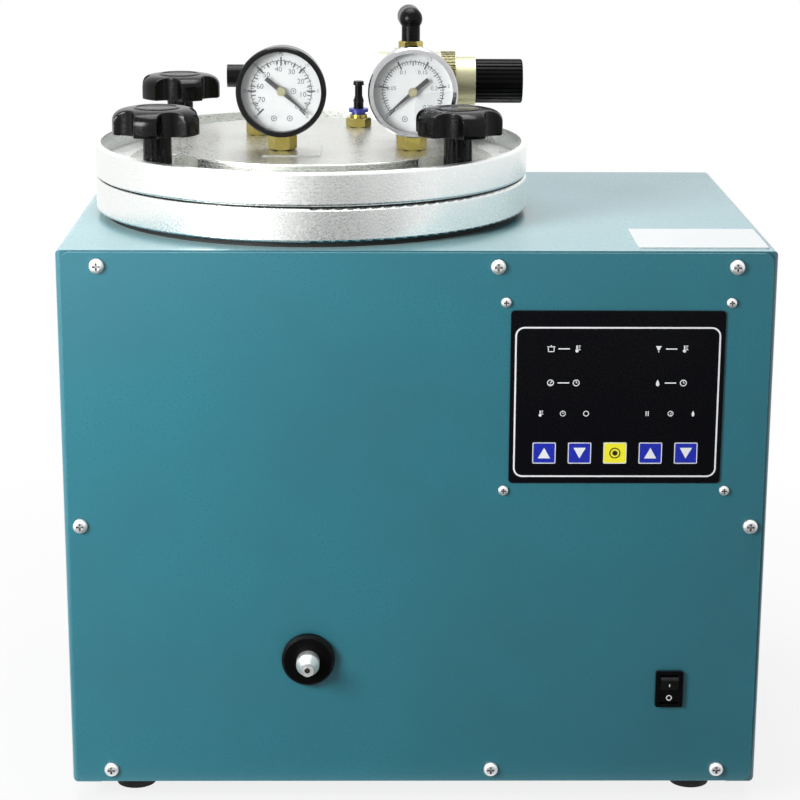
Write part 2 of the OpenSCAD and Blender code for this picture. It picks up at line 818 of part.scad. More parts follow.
module base_tray() color([0.25, 0.5, 0.57]) in_case() difference() {
    tray_w = case_w - 2 * sheet_t - 2 * seat;
    lip_w = case_w - 2 * flange_w - 4 * seat;
    union() {
        translate([-tray_w / 2, 2 * sheet_t + seat, sheet_t])
            cube([tray_w, case_d - 4 * sheet_t - 2 * seat, sheet_t]);
        translate([-lip_w / 2, sheet_t, sheet_t]) cube([lip_w, case_d - 2 * sheet_t, sheet_t]);
        for (y = [sheet_t, case_d - 2 * sheet_t])
            translate([-lip_w / 2, y, sheet_t]) cube([lip_w, sheet_t, flange_w - sheet_t]);
    }
    for (p = front_screw_places) translate([p[0], 0, p[1]]) bar_y(screw_hole_r, -cut, case_d + cut);
    for (p = concat(under_places, foot_places)) translate([p[0], p[1], 0]) screw_hole(3 * sheet_t);
    translate([air_x - air_w / 2, air_y - air_l / 2, 0]) cube([air_w, air_l, 3 * sheet_t]);
}

module cover_outer() intersection() {
    length = case_d - 2 * sheet_t;
    translate([0, case_d - sheet_t, case_h / 2]) rotate([90, 0, 0]) linear_extrude(length)
        soft_square(case_w, case_h, bend_r);
    translate([0, case_d / 2, 0]) linear_extrude(case_h) soft_square(case_w, length, bend_r);
}

module wrap_cover() color([0.25, 0.5, 0.57]) in_case() difference() {
    window_w = case_w - 2 * flange_w;
    cover_outer();
    translate([-side_in, 2 * sheet_t, sheet_t])
        cube([2 * side_in, case_d - 4 * sheet_t, top_in - sheet_t]);
    translate([-window_w / 2, -cut, -cut])
        cube([window_w, case_d + 2 * cut, case_h - flange_w + cut]);
    translate([pot_x, pot_y, 0]) {
        translate([0, 0, top_in - cut]) cylinder(r = pot_r + seat, h = sheet_t + 2 * cut);
        for (i = [0 : flange_screws - 1]) rotate(i * 360 / flange_screws)
            translate([flange_screw_r, 0, top_in]) screw_hole(sheet_t);
    }
    for (p = front_screw_places) translate([p[0], 0, p[1]]) bar_y(screw_hole_r, -cut, case_d + cut);
    for (p = under_places) translate([p[0], p[1], 0]) screw_hole(sheet_t);
}

panel_w = case_w - 2 * panel_inset;
panel_h = case_h - 2 * panel_top_gap;

module panel_sheet(y) translate([0, y, case_h / 2]) face_plate(panel_w, panel_h, sheet_t, panel_corner_r);

module key_place(i) translate([ctl_x + (i - (keys - 1) / 2) * key_pitch, 0, key_z]) children();
module display_places() for (x = [-1, 1], z = disp_z)
    translate([ctl_x + x * disp_dx / 2, 0, ctl_z + z]) children();
module lamp_places() for (x = lamp_x) translate([ctl_x + x, 0, ctl_z - lamp_drop]) children();
module small_places() for (x = [-1, 1], z = [-1, 1])
    translate([ctl_x + x * small_dx / 2, 0, ctl_z + z * small_dz / 2]) children();
module key_slots(t) for (i = [0 : keys - 1]) key_place(i)
    translate([-key_w / 2 - key_gap, -cut, -key_h / 2 - key_gap])
        cube([key_w + 2 * key_gap, t + 2 * cut, key_h + 2 * key_gap]);

module front_panel() color([0.25, 0.5, 0.57]) in_case() difference() {
    panel_sheet(0);
    for (p = front_screw_places) translate([p[0], 0, p[1]]) bar_y(screw_hole_r, -cut, 2 * cut);
    translate([pot_x, 0, noz_z]) bar_y(bush_hole_r, -cut, 2 * sheet_t);
    small_places() bar_y(small_r + screw_gap, -cut, 2 * sheet_t);
    key_slots(sheet_t);
    display_places() translate([-disp_w / 2 - seat, -cut, -disp_h / 2 - seat])
        cube([disp_w + 2 * seat, sheet_t + 2 * cut, disp_h + 2 * seat]);
    lamp_places() bar_y(lamp_r + seat, -cut, 2 * sheet_t);
    translate([sw_x - switch_body_w / 2 - screw_gap, -cut, sw_z - switch_body_h / 2 - screw_gap])
        cube([switch_body_w + 2 * screw_gap, sheet_t + 2 * cut, switch_body_h + 2 * screw_gap]);
}

module back_panel() color([0.25, 0.5, 0.57]) in_case() difference() {
    panel_sheet(back_y - sheet_t);
    for (p = front_screw_places) translate([p[0], back_y, p[1]]) bar_y(screw_hole_r, -2 * cut, cut);
    translate([inlet_x - inlet_body_w / 2 - seat, back_y - 2 * sheet_t, inlet_z - inlet_body_h / 2 - seat])
        cube([inlet_body_w + 2 * seat, 4 * sheet_t, inlet_body_h + 2 * seat]);
    for (x = [0, rear_dx]) translate([rear_x + x, back_y, rear_z])
        bar_y(rear_thread_r + screw_gap, -2 * sheet_t, cut);
    for (x = [-1, 0, 1], i = [0 : vents - 1])
        translate([ctl_x + x * (vent_l + 8) - vent_l / 2, back_y - 2 * sheet_t, vent_z + i * vent_pitch])
            cube([vent_l, 4 * sheet_t, vent_h]);
}

module feet() color([0.08, 0.08, 0.08]) in_case() for (p = foot_places)
    translate([p[0], p[1], 0]) difference() {
        translate([0, 0, -foot_h])
            cylinder(r1 = foot_d / 2, r2 = (foot_d + foot_flare) / 2, h = foot_h + foot_top);
        translate([0, 0, -foot_h - cut])
            cylinder(d = screw_head_d + 2 * seat, h = foot_h + cut + foot_seat_z);
        translate([0, 0, -foot_h]) cylinder(r = screw_hole_r, h = foot_h + foot_top + cut);
    }

module blank_plate() color([0.95, 0.95, 0.95]) in_case()
    translate([case_w / 2 - plate_in - plate_w / 2, plate_y + plate_l / 2, case_h])
        linear_extrude(plate_t) soft_square(plate_w, plate_l, 1);

// ---------------------------------------------------------------- pot

// what an arc of radius e leaves outside itself at a corner; the piece is at +X and +Y of it
module corner_cut(e) difference() {
    square(2 * e, center = true);
    translate([e, e]) circle(e);
}

// a ring whose outer edges are rounded, by low at its bottom and by high at its top
module round_ring(r_in, r_out, h, low, high) rotate_extrude() difference() {
    translate([r_in, 0]) square([r_out - r_in, h]);
    translate([r_out, 0]) rotate(90) corner_cut(low);
    translate([r_out, h]) rotate(180) corner_cut(high);
}

module wax_pot() color([0.75, 0.76, 0.77]) on_pot() difference() {
    union() {
        translate([0, 0, pot_under]) cylinder(r = pot_r, h = ring_z - pot_under + cut);
        translate([0, 0, ring_z]) round_ring(pot_in_r, lid_r, ring_h, ring_round, ring_round);
    }
    translate([0, 0, pot_under + pot_floor]) cylinder(r = pot_in_r, h = ring_top - pot_under);
    translate([0, 0, ring_top - groove_h]) difference() {
        cylinder(r = seal_in_r + seal_w + screw_gap, h = groove_h + cut);
        cylinder(r = seal_in_r - screw_gap, h = groove_h + cut);
    }
    for (k = knob_places) translate([k[0] * knob_x, k[1] * knob_y, ring_top - stud_lift - 2 * seat])
        cylinder(r = stud_r + stud_gap, h = stud_lift + 2 * seat + cut);
    for (i = [0 : flange_screws - 1]) rotate(i * 360 / flange_screws)
        translate([flange_screw_r, 0, ring_z - cut]) cylinder(r = screw_hole_r, h = screw_l);
    translate([0, 0, noz_z - case_h]) bar_y(duct_r, -pot_r - cut, -pot_in_r + 2 * cut);
}

module flange_gasket() color([0.07, 0.07, 0.07]) on_pot() difference() {
    cylinder(r = gasket_out_r, h = gasket_t);
    translate([0, 0, -cut]) cylinder(r = gasket_in_r, h = gasket_t + 2 * cut);
    for (i = [0 : flange_screws - 1]) rotate(i * 360 / flange_screws)
        translate([flange_screw_r, 0, -cut]) cylinder(r = screw_hole_r, h = gasket_t + 2 * cut);
}

module heater_band() color([0.6, 0.55, 0.45]) on_pot() translate([0, 0, heater_z - case_h])
    difference() {
        union() {
            cylinder(r = wrap_r + heater_t, h = heater_h);
            for (x = [-1, 1]) translate([x * (heater_gap / 2 + heater_t / 2) - heater_t / 2, wrap_r, 0])
                cube([heater_t, heater_t + wool_t - 2, heater_h]);
        }
        translate([0, 0, -cut]) cylinder(r = wrap_r, h = heater_h + 2 * cut);
        translate([-heater_gap / 2, wrap_r / 2, -cut]) cube([heater_gap, wrap_r, heater_h + 2 * cut]);
    }

module pot_jacket() color([0.9, 0.85, 0.6]) on_pot() difference() {
    jacket_z = pot_under + 4;
    jacket_h = -sheet_t - seat - jacket_z;
    lug_w = heater_gap + 2 * heater_t + 4 * seat;
    notch_w = block_w + 2 * cartridge_out + 4 * seat;
    translate([0, 0, jacket_z]) cylinder(r = jacket_out_r, h = jacket_h);
    translate([0, 0, jacket_z - cut]) cylinder(r = jacket_in_r, h = jacket_h + 2 * cut);
    translate([-notch_w / 2, -jacket_out_r - cut, jacket_z - cut])
        cube([notch_w, jacket_out_r, noz_z + block_h / 2 + seat - case_h - jacket_z + cut]);
    translate([-lug_w / 2, pot_r / 2, jacket_z - cut]) cube([lug_w, pot_r, jacket_h + 2 * cut]);
}

module temperature_probes() color([0.7, 0.7, 0.72]) {
    in_case() translate([pot_x - block_w / 4, block_y + probe_y, noz_z - block_h / 2 - probe_l + probe_in])
        cylinder(r = probe_r, h = probe_l);
    on_pot() translate([pot_r / 2, 0, pot_under - probe_l]) {
        cylinder(r = probe_r, h = probe_l);
        translate([0, 0, probe_l - sheet_t]) cylinder(r = 2 * probe_r, h = sheet_t);
    }
}

// ---------------------------------------------------------------- nozzle

module on_nozzle() in_case() translate([pot_x, 0, noz_z]) children();

module nozzle_block() color([0.72, 0.72, 0.74]) on_nozzle() difference() {
    translate([-block_w / 2, block_y, -block_h / 2]) cube([block_w, pot_y - block_y - pot_in_r, block_h]);
    translate([0, pot_y, 0]) cylinder(r = pot_r + face_gap, h = 2 * block_h, center = true);
    bar_y(tail_r + run_gap, block_y - cut, block_y + block_bore);
    bar_y(duct_r, block_y, pot_y);
    translate([0, block_y + probe_y, cartridge_up]) bar_x(cartridge_r + screw_gap, -block_w, block_w);
    translate([-block_w / 4, block_y + probe_y, -block_h / 2 - cut])
        cylinder(r = probe_r + screw_gap, h = probe_in + cut);
}

module nozzle_heater() color([0.8, 0.8, 0.8]) on_nozzle()
    translate([0, block_y + probe_y, cartridge_up])
        bar_x(cartridge_r, -block_w / 2, block_w / 2 + cartridge_out);

module nozzle_bush() color([0.05, 0.05, 0.05]) on_nozzle() difference() {
    union() {
        bar_y(bush_r, -bush_t + bush_chamfer, 0);
        cone_between(bush_r - bush_chamfer, bush_r, -bush_t, -bush_t + bush_chamfer);
        bar_y(bush_in_r, -cut, bush_in_l);
    }
    bar_y(noz_r + run_gap, -bush_t - cut, bush_in_l + cut);
}

module nozzle_body() color([0.78, 0.78, 0.8]) on_nozzle() difference() {
    union() {
        bar_y(tip_thread_r, cone_y - tip_l / 2, cone_y + cut);
        cone_between(tip_r, noz_r, cone_y, cone_y + cone_l);
        bar_y(noz_r, cone_y + cone_l, collar_y + cut);
        bar_y(push_r, collar_y, spring_y);
        bar_y(tail_r, spring_y - cut, tail_end);
    }
    bar_y(wax_r, tip_y - cut, tail_end + cut);
}

module nozzle_tip() color([0.9, 0.9, 0.9]) on_nozzle() difference() {
    bar_y(tip_r, tip_y, cone_y);
    bar_y(tip_thread_r, cone_y - tip_l / 2, cone_y + cut);
    bar_y(wax_r, tip_y - cut, cone_y);
}

module nozzle_spring() color([0.6, 0.6, 0.62]) on_nozzle() difference() {
    bar_y(spring_r, spring_y + face_gap, block_y - face_gap);
    bar_y(spring_r - spring_wire, spring_y - cut, block_y + cut);
}

module trip_switch() color([0.12, 0.12, 0.12]) on_nozzle() {
    body_y = trip_pin_y + trip_pin_l;
    translate([trip_x, body_y, -trip_h / 2]) cube([trip_w, block_y - body_y - face_gap, trip_h]);
    translate([trip_x + trip_plunger_r, 0, 0]) bar_y(trip_plunger_r, trip_pin_y, body_y + cut);
}

// ---------------------------------------------------------------- controls

module control_overlay() color([0.03, 0.03, 0.04]) in_case() difference() {
    translate([ctl_x, -ctl_t, ctl_z]) face_plate(ctl_w, ctl_h, ctl_t, ctl_r);
    translate([0, -ctl_t, 0]) key_slots(ctl_t);
}

// the key's front is level with the overlay; it stops short of its push switch
module key(i) color(i == 2 ? [0.95, 0.85, 0.1] : [0.05, 0.1, 0.6]) in_case() key_place(i)
    translate([0, key_front, 0]) face_plate(key_w, key_h, key_t, key_r);

module control_board() color([0.1, 0.35, 0.2]) in_case() difference() {
    push_y = key_front + key_t + key_travel + seat;
    union() {
        translate([ctl_x, board_y, ctl_z]) face_plate(board_w, board_h, board_t, 1);
        display_places() translate([-disp_w / 2, disp_front, -disp_h / 2])
            cube([disp_w, board_y - disp_front + cut / 2, disp_h]);
        lamp_places() bar_y(lamp_r, disp_front, board_y + cut / 2);
        for (i = [0 : keys - 1]) key_place(i) {
            bar_y(tact_r, push_y, board_y);
            translate([-tact_w / 2, board_y - tact_h, -tact_w / 2]) cube([tact_w, tact_h + cut / 2, tact_w]);
        }
    }
    small_places() bar_y(small_r + screw_gap, board_y - cut, board_y + board_t + cut);
}

module board_fixings() color([0.8, 0.8, 0.82]) in_case() small_places() {
    nut_y = board_y + board_t;
    difference() {
        union() {
            translate([0, -small_head_h, 0]) rotate([-90, 0, 0]) round_head(small_head_d / 2, small_head_h);
            bar_y(small_r, -cut, nut_y + nut_h + seat);
        }
        translate([0, -small_head_h, 0]) rotate([-90, 0, 0]) screw_cross(small_head_d, cross_depth);
    }
    difference() {
        translate([0, sheet_t, 0]) rotate([-90, 0, 0]) hexagon(post_af, board_gap);
        bar_y(small_r + screw_gap, 0, board_y + cut);
    }
    difference() {
        translate([0, nut_y, 0]) rotate([-90, 0, 0]) hexagon(post_af, nut_h);
        bar_y(small_r + screw_gap, nut_y - cut, nut_y + nut_h + cut);
    }
}

// ---------------------------------------------------------------- switch

switch_body_w = sw_w - 2;
switch_body_h = sw_h - 2;
rocker_hole_w = rocker_w + 2 * seat;
rocker_hole_h = 2 * rocker_r + 2 * seat;
rocker_pin_r = 1;
pin_end = (rocker_hole_w + switch_body_w) / 4;
face_y = rocker_proud + rocker_pin_y;

module at_switch() in_case() translate([sw_x, 0, sw_z]) children();

module switch_frame() color([0.03, 0.03, 0.03]) at_switch() difference() {
    union() {
        translate([0, -sw_t, 0]) face_plate(sw_w, sw_h, sw_t, sw_corner_r);
        translate([-switch_body_w / 2, -cut / 2, -switch_body_h / 2])
            cube([switch_body_w, sw_depth + cut / 2, switch_body_h]);
    }
    translate([-rocker_hole_w / 2, -sw_t - cut, -rocker_hole_h / 2])
        cube([rocker_hole_w, sw_t + cut + rocker_pin_y + rocker_r + seat, rocker_hole_h]);
    translate([0, rocker_pin_y, 0]) bar_x(rocker_pin_r + run_gap, -pin_end - seat / 2, pin_end + seat / 2);
}

module switch_rocker() color([0.02, 0.02, 0.02]) at_switch()
    translate([0, rocker_pin_y, 0]) rotate([rocker_tilt, 0, 0]) {
        side_profile(rocker_w) intersection() {
            circle(rocker_r);
            polygon([[-face_y, -rocker_r], [rocker_dip - face_y, 0], [-face_y, rocker_r],
                [rocker_pin_r, rocker_r], [rocker_r / 2, rocker_pin_r],
                [rocker_r / 2, -rocker_pin_r], [rocker_pin_r, -rocker_r]]);
        }
        bar_x(rocker_pin_r, -pin_end, pin_end);
    }

// ---------------------------------------------------------------- inside and back

inside_z = 2 * sheet_t;

module transformer() color([0.35, 0.35, 0.38]) in_case() {
    core_d = trafo_d - 2 * winding_out;
    wind_w = trafo_w - 2 * trafo_leg;
    translate([trafo_x, trafo_y + trafo_d / 2, inside_z]) {
        translate([-trafo_w / 2, -core_d / 2, 0]) cube([trafo_w, core_d, trafo_h]);
        translate([-wind_w / 2, -trafo_d / 2, trafo_leg / 2]) cube([wind_w, trafo_d, trafo_h - trafo_leg]);
        translate([-trafo_w / 2 - trafo_leg, -core_d / 4, 0])
            cube([trafo_w + 2 * trafo_leg, core_d / 2, sheet_t]);
    }
}

module mains_inlet() color([0.04, 0.04, 0.04]) in_case() translate([inlet_x, back_y, inlet_z]) {
    socket_w = inlet_body_w - 2 * inlet_wall;
    socket_h = inlet_body_h - 2 * inlet_wall;
    difference() {
        union() {
            face_plate(inlet_w, inlet_h, inlet_t, inlet_t);
            translate([-inlet_body_w / 2, -socket_depth, -inlet_body_h / 2])
                cube([inlet_body_w, socket_depth + cut, inlet_body_h]);
        }
        translate([-socket_w / 2, inlet_t - socket_depth, -socket_h / 2])
            cube([socket_w, socket_depth + cut, socket_h]);
    }
    for (i = [-1, 0, 1])
        translate([i * blade_dx - blade_w / 2, -socket_depth + cut, (i == 0 ? 1 : -1) * blade_w - blade_w])
            cube([blade_w, blade_l, 2 * blade_w]);
}

module solenoid_valves() color([0.2, 0.2, 0.22]) in_case() for (i = [0, 1])
    translate([valve_x + i * valve_dx, valve_y, inside_z]) {
        translate([-valve_w / 2, 0, 0]) cube([valve_w, valve_l, valve_h]);
        translate([0, valve_l / 2, valve_h - cut]) cylinder(r = coil_r, h = coil_h + cut);
    }

module rear_ports() color([0.1, 0.1, 0.1]) in_case() for (x = [0, rear_dx])
    translate([rear_x + x, back_y, rear_z]) difference() {
        union() {
            rotate([-90, 0, 0]) hexagon(2 * rear_r, rear_hex_l);
            bar_y(rear_r - rear_step, rear_hex_l - cut, rear_reach);
            bar_y(rear_thread_r, -rear_in, cut);
            translate([0, -sheet_t, 0]) rotate([90, 0, 0]) hexagon(2 * rear_r, rear_nut_l);
        }
        bar_y(port_r, rear_reach - port_depth, rear_reach + cut);
        bar_y(air_r, -rear_in - cut, rear_reach);
    }

// ---------------------------------------------------------------- lid

module lid_port(x, y) translate([x, y, lid_z - spigot_h - cut])
    cylinder(r = port_hole_r, h = rim_top - lid_z + spigot_h + 3 * cut);

module lid() color([0.78, 0.79, 0.8]) on_pot() difference() {
    union() {
        translate([0, 0, lid_z]) round_ring(0, lid_r, lid_h, ring_round, ring_round);
        translate([0, 0, lid_z - spigot_h]) cylinder(r = pot_in_r - spigot_gap, h = spigot_h + cut);
    }
    difference() {
        translate([0, 0, floor_top]) cylinder(r = lid_r - rim_t, h = lid_h);
        difference() {
            translate([0, 0, floor_top - cut]) {
                round_ring(0, plateau_r, plateau_z - floor_top + cut, plateau_round / 2, plateau_round);
                translate([vac_x + pad_shift - pad_w / 2, vac_y - pad_front, 0])
                    cube([pad_w, pad_l, plateau_z + pad_h - floor_top + cut]);
            }
            for (k = knob_places) translate([k[0] * knob_x, k[1] * knob_y, floor_top - cut])
                cylinder(r = pocket_r, h = lid_h);
        }
    }
    for (k = knob_places) translate([k[0] * knob_x, k[1] * knob_y, lid_z - cut])
        cylinder(r = stud_r + stud_gap, h = lid_t + 2 * cut);
    lid_port(vac_x, vac_y);
    lid_port(prs_x, prs_y);
    lid_port(reg_x, reg_y);
    lid_port(relief_x, relief_y);
    lid_port(vac_elbow_x, vac_elbow_y);
}

pad_shift = 5.6;
pad_front = 23;

module lid_seal() color([0.05, 0.05, 0.05]) on_pot() difference() {
    translate([0, 0, ring_top - groove_h]) cylinder(r = seal_in_r + seal_w, h = groove_h + seal_gap);
    translate([0, 0, ring_top - groove_h - cut]) cylinder(r = seal_in_r, h = groove_h + seal_gap + 2 * cut);
}

// ---------------------------------------------------------------- clamp knobs

module at_knob(i) on_pot() translate([knob_places[i][0] * knob_x, knob_places[i][1] * knob_y, 0])
    children();

module clamp_knob(i) color([0.04, 0.04, 0.04]) at_knob(i) rotate(knob_places[i][2] - 90) {
    translate([0, 0, star_z]) difference() {
        union() {
            intersection() {
                round_ring(0, star_d / 2, star_h, star_round, star_round);
                translate([0, 0, dome_z]) sphere(dome_r);
            }
            translate([0, 0, skirt_h]) cylinder(r = disc_r, h = star_h - skirt_h);
        }
        for (i = [0 : lobes - 1]) rotate((i + 0.5) * 360 / lobes)
            translate([valley_r + scallop_r, 0, -cut]) cylinder(r = scallop_r, h = star_h + 2 * cut);
        translate([0, 0, star_h - disc_h]) cylinder(r = disc_r - disc_rim, h = disc_h + cut);
    }
    translate([0, 0, hub_z]) cylinder(d = hub_d, h = hub_h + cut);
    translate([0, 0, ring_top - stud_lift]) cylinder(r = stud_r, h = hub_z - ring_top + stud_lift + cut);
}

module washer(i) color([0.75, 0.75, 0.77]) at_knob(i) translate([0, 0, washer_z]) difference() {
    cylinder(d = washer_d, h = washer_t);
    translate([0, 0, -cut]) cylinder(r = stud_r + run_gap, h = washer_t + 2 * cut);
}

// ---------------------------------------------------------------- gauges

module at_gauge(x, y, lift) on_pot() translate([x, y - stem_back, gauge_up + lift]) children();
module at_vacuum() at_gauge(vac_x, vac_y, pad_h) children();
module at_pressure() at_gauge(prs_x, prs_y, 0) children();

module gauge_case() difference() {
    union() {
        bar_y(gauge_r, gauge_chamfer, gauge_rim);
        cone_between(gauge_r - gauge_chamfer, gauge_r, 0, gauge_chamfer);
        bar_y(gauge_case_r, gauge_rim - cut, gauge_depth);
    }
    bar_y(gauge_r - gauge_lip, -cut, gauge_lip_t + cut);
    bar_y(gauge_in_r, gauge_lip_t, gauge_depth - gauge_wall);
    translate([0, stem_back, -gauge_r - cut]) cylinder(r = stem_d / 2 + screw_gap, h = gauge_r);
}

module vacuum_gauge_case() color([0.06, 0.06, 0.06]) at_vacuum() gauge_case();
module pressure_gauge_case() color([0.8, 0.8, 0.82]) at_pressure() gauge_case();

module gauge_dial() difference() {
    bar_y(dial_r, dial_y, dial_y + dial_t);
    bar_y(pin_hole_r, dial_y - cut, dial_y + dial_t + cut);
}
module gauge_dials() color([0.96, 0.97, 0.97]) {
    at_vacuum() gauge_dial();
    at_pressure() gauge_dial();
}

module gauge_lenses() color([0.85, 0.9, 0.92, 0.3]) {
    at_vacuum() bar_y(dial_r, lens_y, lens_y + lens_t);
    at_pressure() bar_y(dial_r, lens_y, lens_y + lens_t);
}

// the thin end points along +X before it is turned
module pointer() {
    hub_y = lens_y + lens_t + seat;
    bar_y(needle_hub_d / 2, hub_y, hub_y + hub_t);
    bar_y(pin_r, hub_y, dial_y + 2 * dial_t + hub_t);
    translate([0, hub_y + hub_t / 2 + needle_t / 2, 0]) rotate([90, 0, 0]) linear_extrude(needle_t)
        polygon([[-needle_tail, -needle_w / 2], [0, -needle_w / 2], [needle_l, -needle_point / 2],
            [needle_l, needle_point / 2], [0, needle_w / 2], [-needle_tail, needle_w / 2]]);
}
module vacuum_pointer() color([0.02, 0.02, 0.02]) at_vacuum() rotate([0, needle_rest, 0]) pointer();
module pressure_pointer() color([0.02, 0.02, 0.02])
    at_pressure() rotate([0, 180 - needle_rest, 0]) pointer();

module gauge_stem(x, y, lift) on_pot() translate([x, y, plateau_z + lift]) {
    nut(gauge_nut_af, gauge_nut_h);
    translate([0, 0, gauge_nut_h - cut])
        cylinder(d = stem_d, h = gauge_z - gauge_in_r + stem_in - gauge_nut_h + cut);
    translate([0, 0, -thread_l]) cylinder(r = thread_r, h = thread_l + cut);
}
module gauge_stems() color([0.72, 0.58, 0.25]) {
    gauge_stem(vac_x, vac_y, pad_h);
    gauge_stem(prs_x, prs_y, 0);
}

// ---------------------------------------------------------------- regulator

module at_regulator() on_pot() translate([reg_x, reg_y, reg_up]) children();

// a ribbed round outline: each rib is a flat-topped tooth, and a share of its pitch is the top
rib_foot = 0.85;
rib_top = 0.55;
rib_corners = [[-rib_foot, 0], [-rib_top, 1], [rib_top, 1], [rib_foot, 0]];
module ribbed(r, n, depth) polygon([for (i = [0 : n - 1], c = rib_corners)
    let (a = (i + c[0] / 2) * 360 / n) (r - depth + c[1] * depth) * [cos(a), sin(a)]]);

module regulator_body() color([0.7, 0.7, 0.68]) at_regulator() difference() {
    union() {
        bar_x(reg_r, -reg_left, reg_right);
        translate([-boss_w / 2, -boss_w / 2, -boss_z]) cube([boss_w, boss_w, 2 * boss_z]);
    }
    translate([0, 0, boss_z - thread_l - seat]) cylinder(r = thread_r + screw_gap, h = thread_l + cut);
    translate([0, 0, -boss_z - cut]) cylinder(r = thread_r + screw_gap, h = thread_l + cut + seat);
}

module lock_nut() color([0.72, 0.58, 0.25]) at_regulator() difference() {
    translate([lock_x + face_gap, 0, 0]) rotate([0, 90, 0]) linear_extrude(lock_l)
        ribbed(lock_r, lock_ribs, lock_rib_depth);
    bar_x(bonnet_r + screw_gap, lock_x - cut, lock_x + lock_l + cut);
}

module regulator_bonnet() color([0.82, 0.8, 0.68]) at_regulator() difference() {
    union() {
        bar_x(bonnet_r, bonnet_x, bonnet_end);
        bar_x(neck_r, bonnet_end - cut, bonnet_end + neck_l);
    }
    bar_x(bonnet_r - bonnet_wall, bonnet_x - cut, bonnet_end - bonnet_wall);
    bar_x(spindle_r + run_gap, bonnet_x, bonnet_end + neck_l + cut);
}

module regulator_spindle() color([0.7, 0.7, 0.72]) at_regulator() {
    bar_x(spindle_r, spindle_x, spindle_end);
    bar_x(2 * spindle_r, bonnet_end - 2 * bonnet_wall - seat, bonnet_end - bonnet_wall - seat);
}

module regulator_knob() color([0.04, 0.04, 0.04]) at_regulator() difference() {
    intersection() {
        translate([reg_knob_x, 0, 0]) rotate([0, 90, 0]) linear_extrude(reg_knob_l)
            ribbed(reg_knob_r, reg_ribs, rib_depth);
        translate([reg_knob_x, 0, 0]) rotate([0, 90, 0]) rotate_extrude() difference() {
            square([reg_knob_r, reg_knob_l]);
            translate([reg_knob_r, reg_knob_l]) rotate(180) corner_cut(reg_knob_round);
        }
    }
    bar_x(neck_r + neck_gap, reg_knob_x - cut, reg_knob_x + neck_l + neck_gap);
    bar_x(spindle_r + run_gap, reg_knob_x - cut, spindle_end + seat);
}

// ---------------------------------------------------------------- fittings

// upright part on the origin; the open end points along -X
module elbow() difference() {
    union() {
        cylinder(r = elbow_up_r, h = elbow_rise);
        translate([0, 0, elbow_rise]) bar_x(elbow_r, -elbow_reach, 0);
        translate([0, 0, elbow_rise]) sphere(elbow_r);
    }
    translate([0, 0, elbow_rise]) bar_x(port_r, -elbow_reach - cut, -elbow_reach + port_depth);
    translate([0, 0, elbow_rise]) bar_x(air_r, -elbow_reach, 0);
    translate([0, 0, -cut]) cylinder(r = pivot_r + run_gap, h = pivot_h + cut + seat);
    cylinder(r = air_r, h = elbow_rise);
}

// a brass stud: thread, hexagon and the round pivot that an elbow turns on
module stud_fitting(hex_h, af) {
    nut(af, hex_h);
    translate([0, 0, -thread_l]) cylinder(r = thread_r, h = thread_l + cut);
    translate([0, 0, hex_h - cut]) cylinder(r = pivot_r, h = pivot_h + cut);
}

module air_elbow() color([0.06, 0.06, 0.07]) on_pot()
    translate([reg_x, reg_y, air_elbow_z + face_gap]) rotate(elbow_turn - 90) elbow();
module vacuum_elbow() color([0.06, 0.06, 0.07]) on_pot()
    translate([vac_elbow_x, vac_elbow_y, vac_elbow_z + face_gap]) elbow();

module brass_fittings() color([0.72, 0.58, 0.25]) on_pot() {
    translate([reg_x, reg_y, air_hex_z]) stud_fitting(elbow_hex_h, fit_af);
    translate([vac_elbow_x, vac_elbow_y, plateau_z]) stud_fitting(riser_h, fit_af);
    translate([reg_x, reg_y, plateau_z]) {
        nut(gauge_nut_af, reg_z - boss_z);
        translate([0, 0, -thread_l]) cylinder(r = thread_r, h = thread_l + cut);
        translate([0, 0, reg_z - boss_z - cut]) cylinder(r = thread_r, h = thread_l + cut);
    }
    translate([relief_x, relief_y, relief_hex_z]) difference() {
        union() {
            nut(relief_af, relief_hex_h);
            translate([0, 0, relief_hex_h - cut]) cylinder(r = relief_neck_r, h = relief_neck_h + cut);
            translate([0, 0, -thread_l]) cylinder(r = thread_r, h = thread_l + cut);
        }
        translate([0, 0, relief_hex_h + relief_neck_h - sleeve_l])
            cylinder(r = sleeve_r + sleeve_gap, h = sleeve_l + cut);
        translate([0, 0, -plug_in])
            cylinder(r = plug_r + run_gap, h = relief_hex_h + relief_neck_h + plug_in);
    }
}

module release_collar() color([0.08, 0.12, 0.55]) on_pot() translate([relief_x, relief_y, collar_z])
    difference() {
        union() {
            cylinder(r = collar_r, h = collar_t);
            translate([0, 0, -sleeve_l]) cylinder(r = sleeve_r, h = sleeve_l + cut);
        }
        translate([0, 0, -sleeve_l - cut])
            cylinder(r = plug_r + sleeve_gap, h = sleeve_l + collar_t + 2 * cut);
    }

module barbed_plug() color([0.03, 0.03, 0.03]) on_pot() translate([relief_x, relief_y, plateau_z]) {
    barb_z = plug_top - plug_stem_l;
    translate([0, 0, -plug_in]) cylinder(r = plug_r, h = barb_z + plug_in);
    translate([0, 0, barb_z]) cylinder(r1 = plug_barb_r, r2 = plug_stem_r, h = plug_barb_r);
    translate([0, 0, barb_z]) cylinder(r = plug_stem_r, h = plug_stem_l);
    translate([0, 0, plug_top - plug_stem_r]) cylinder(r1 = plug_barb_r, r2 = plug_r, h = plug_stem_r);
}

// ---------------------------------------------------------------- nodes

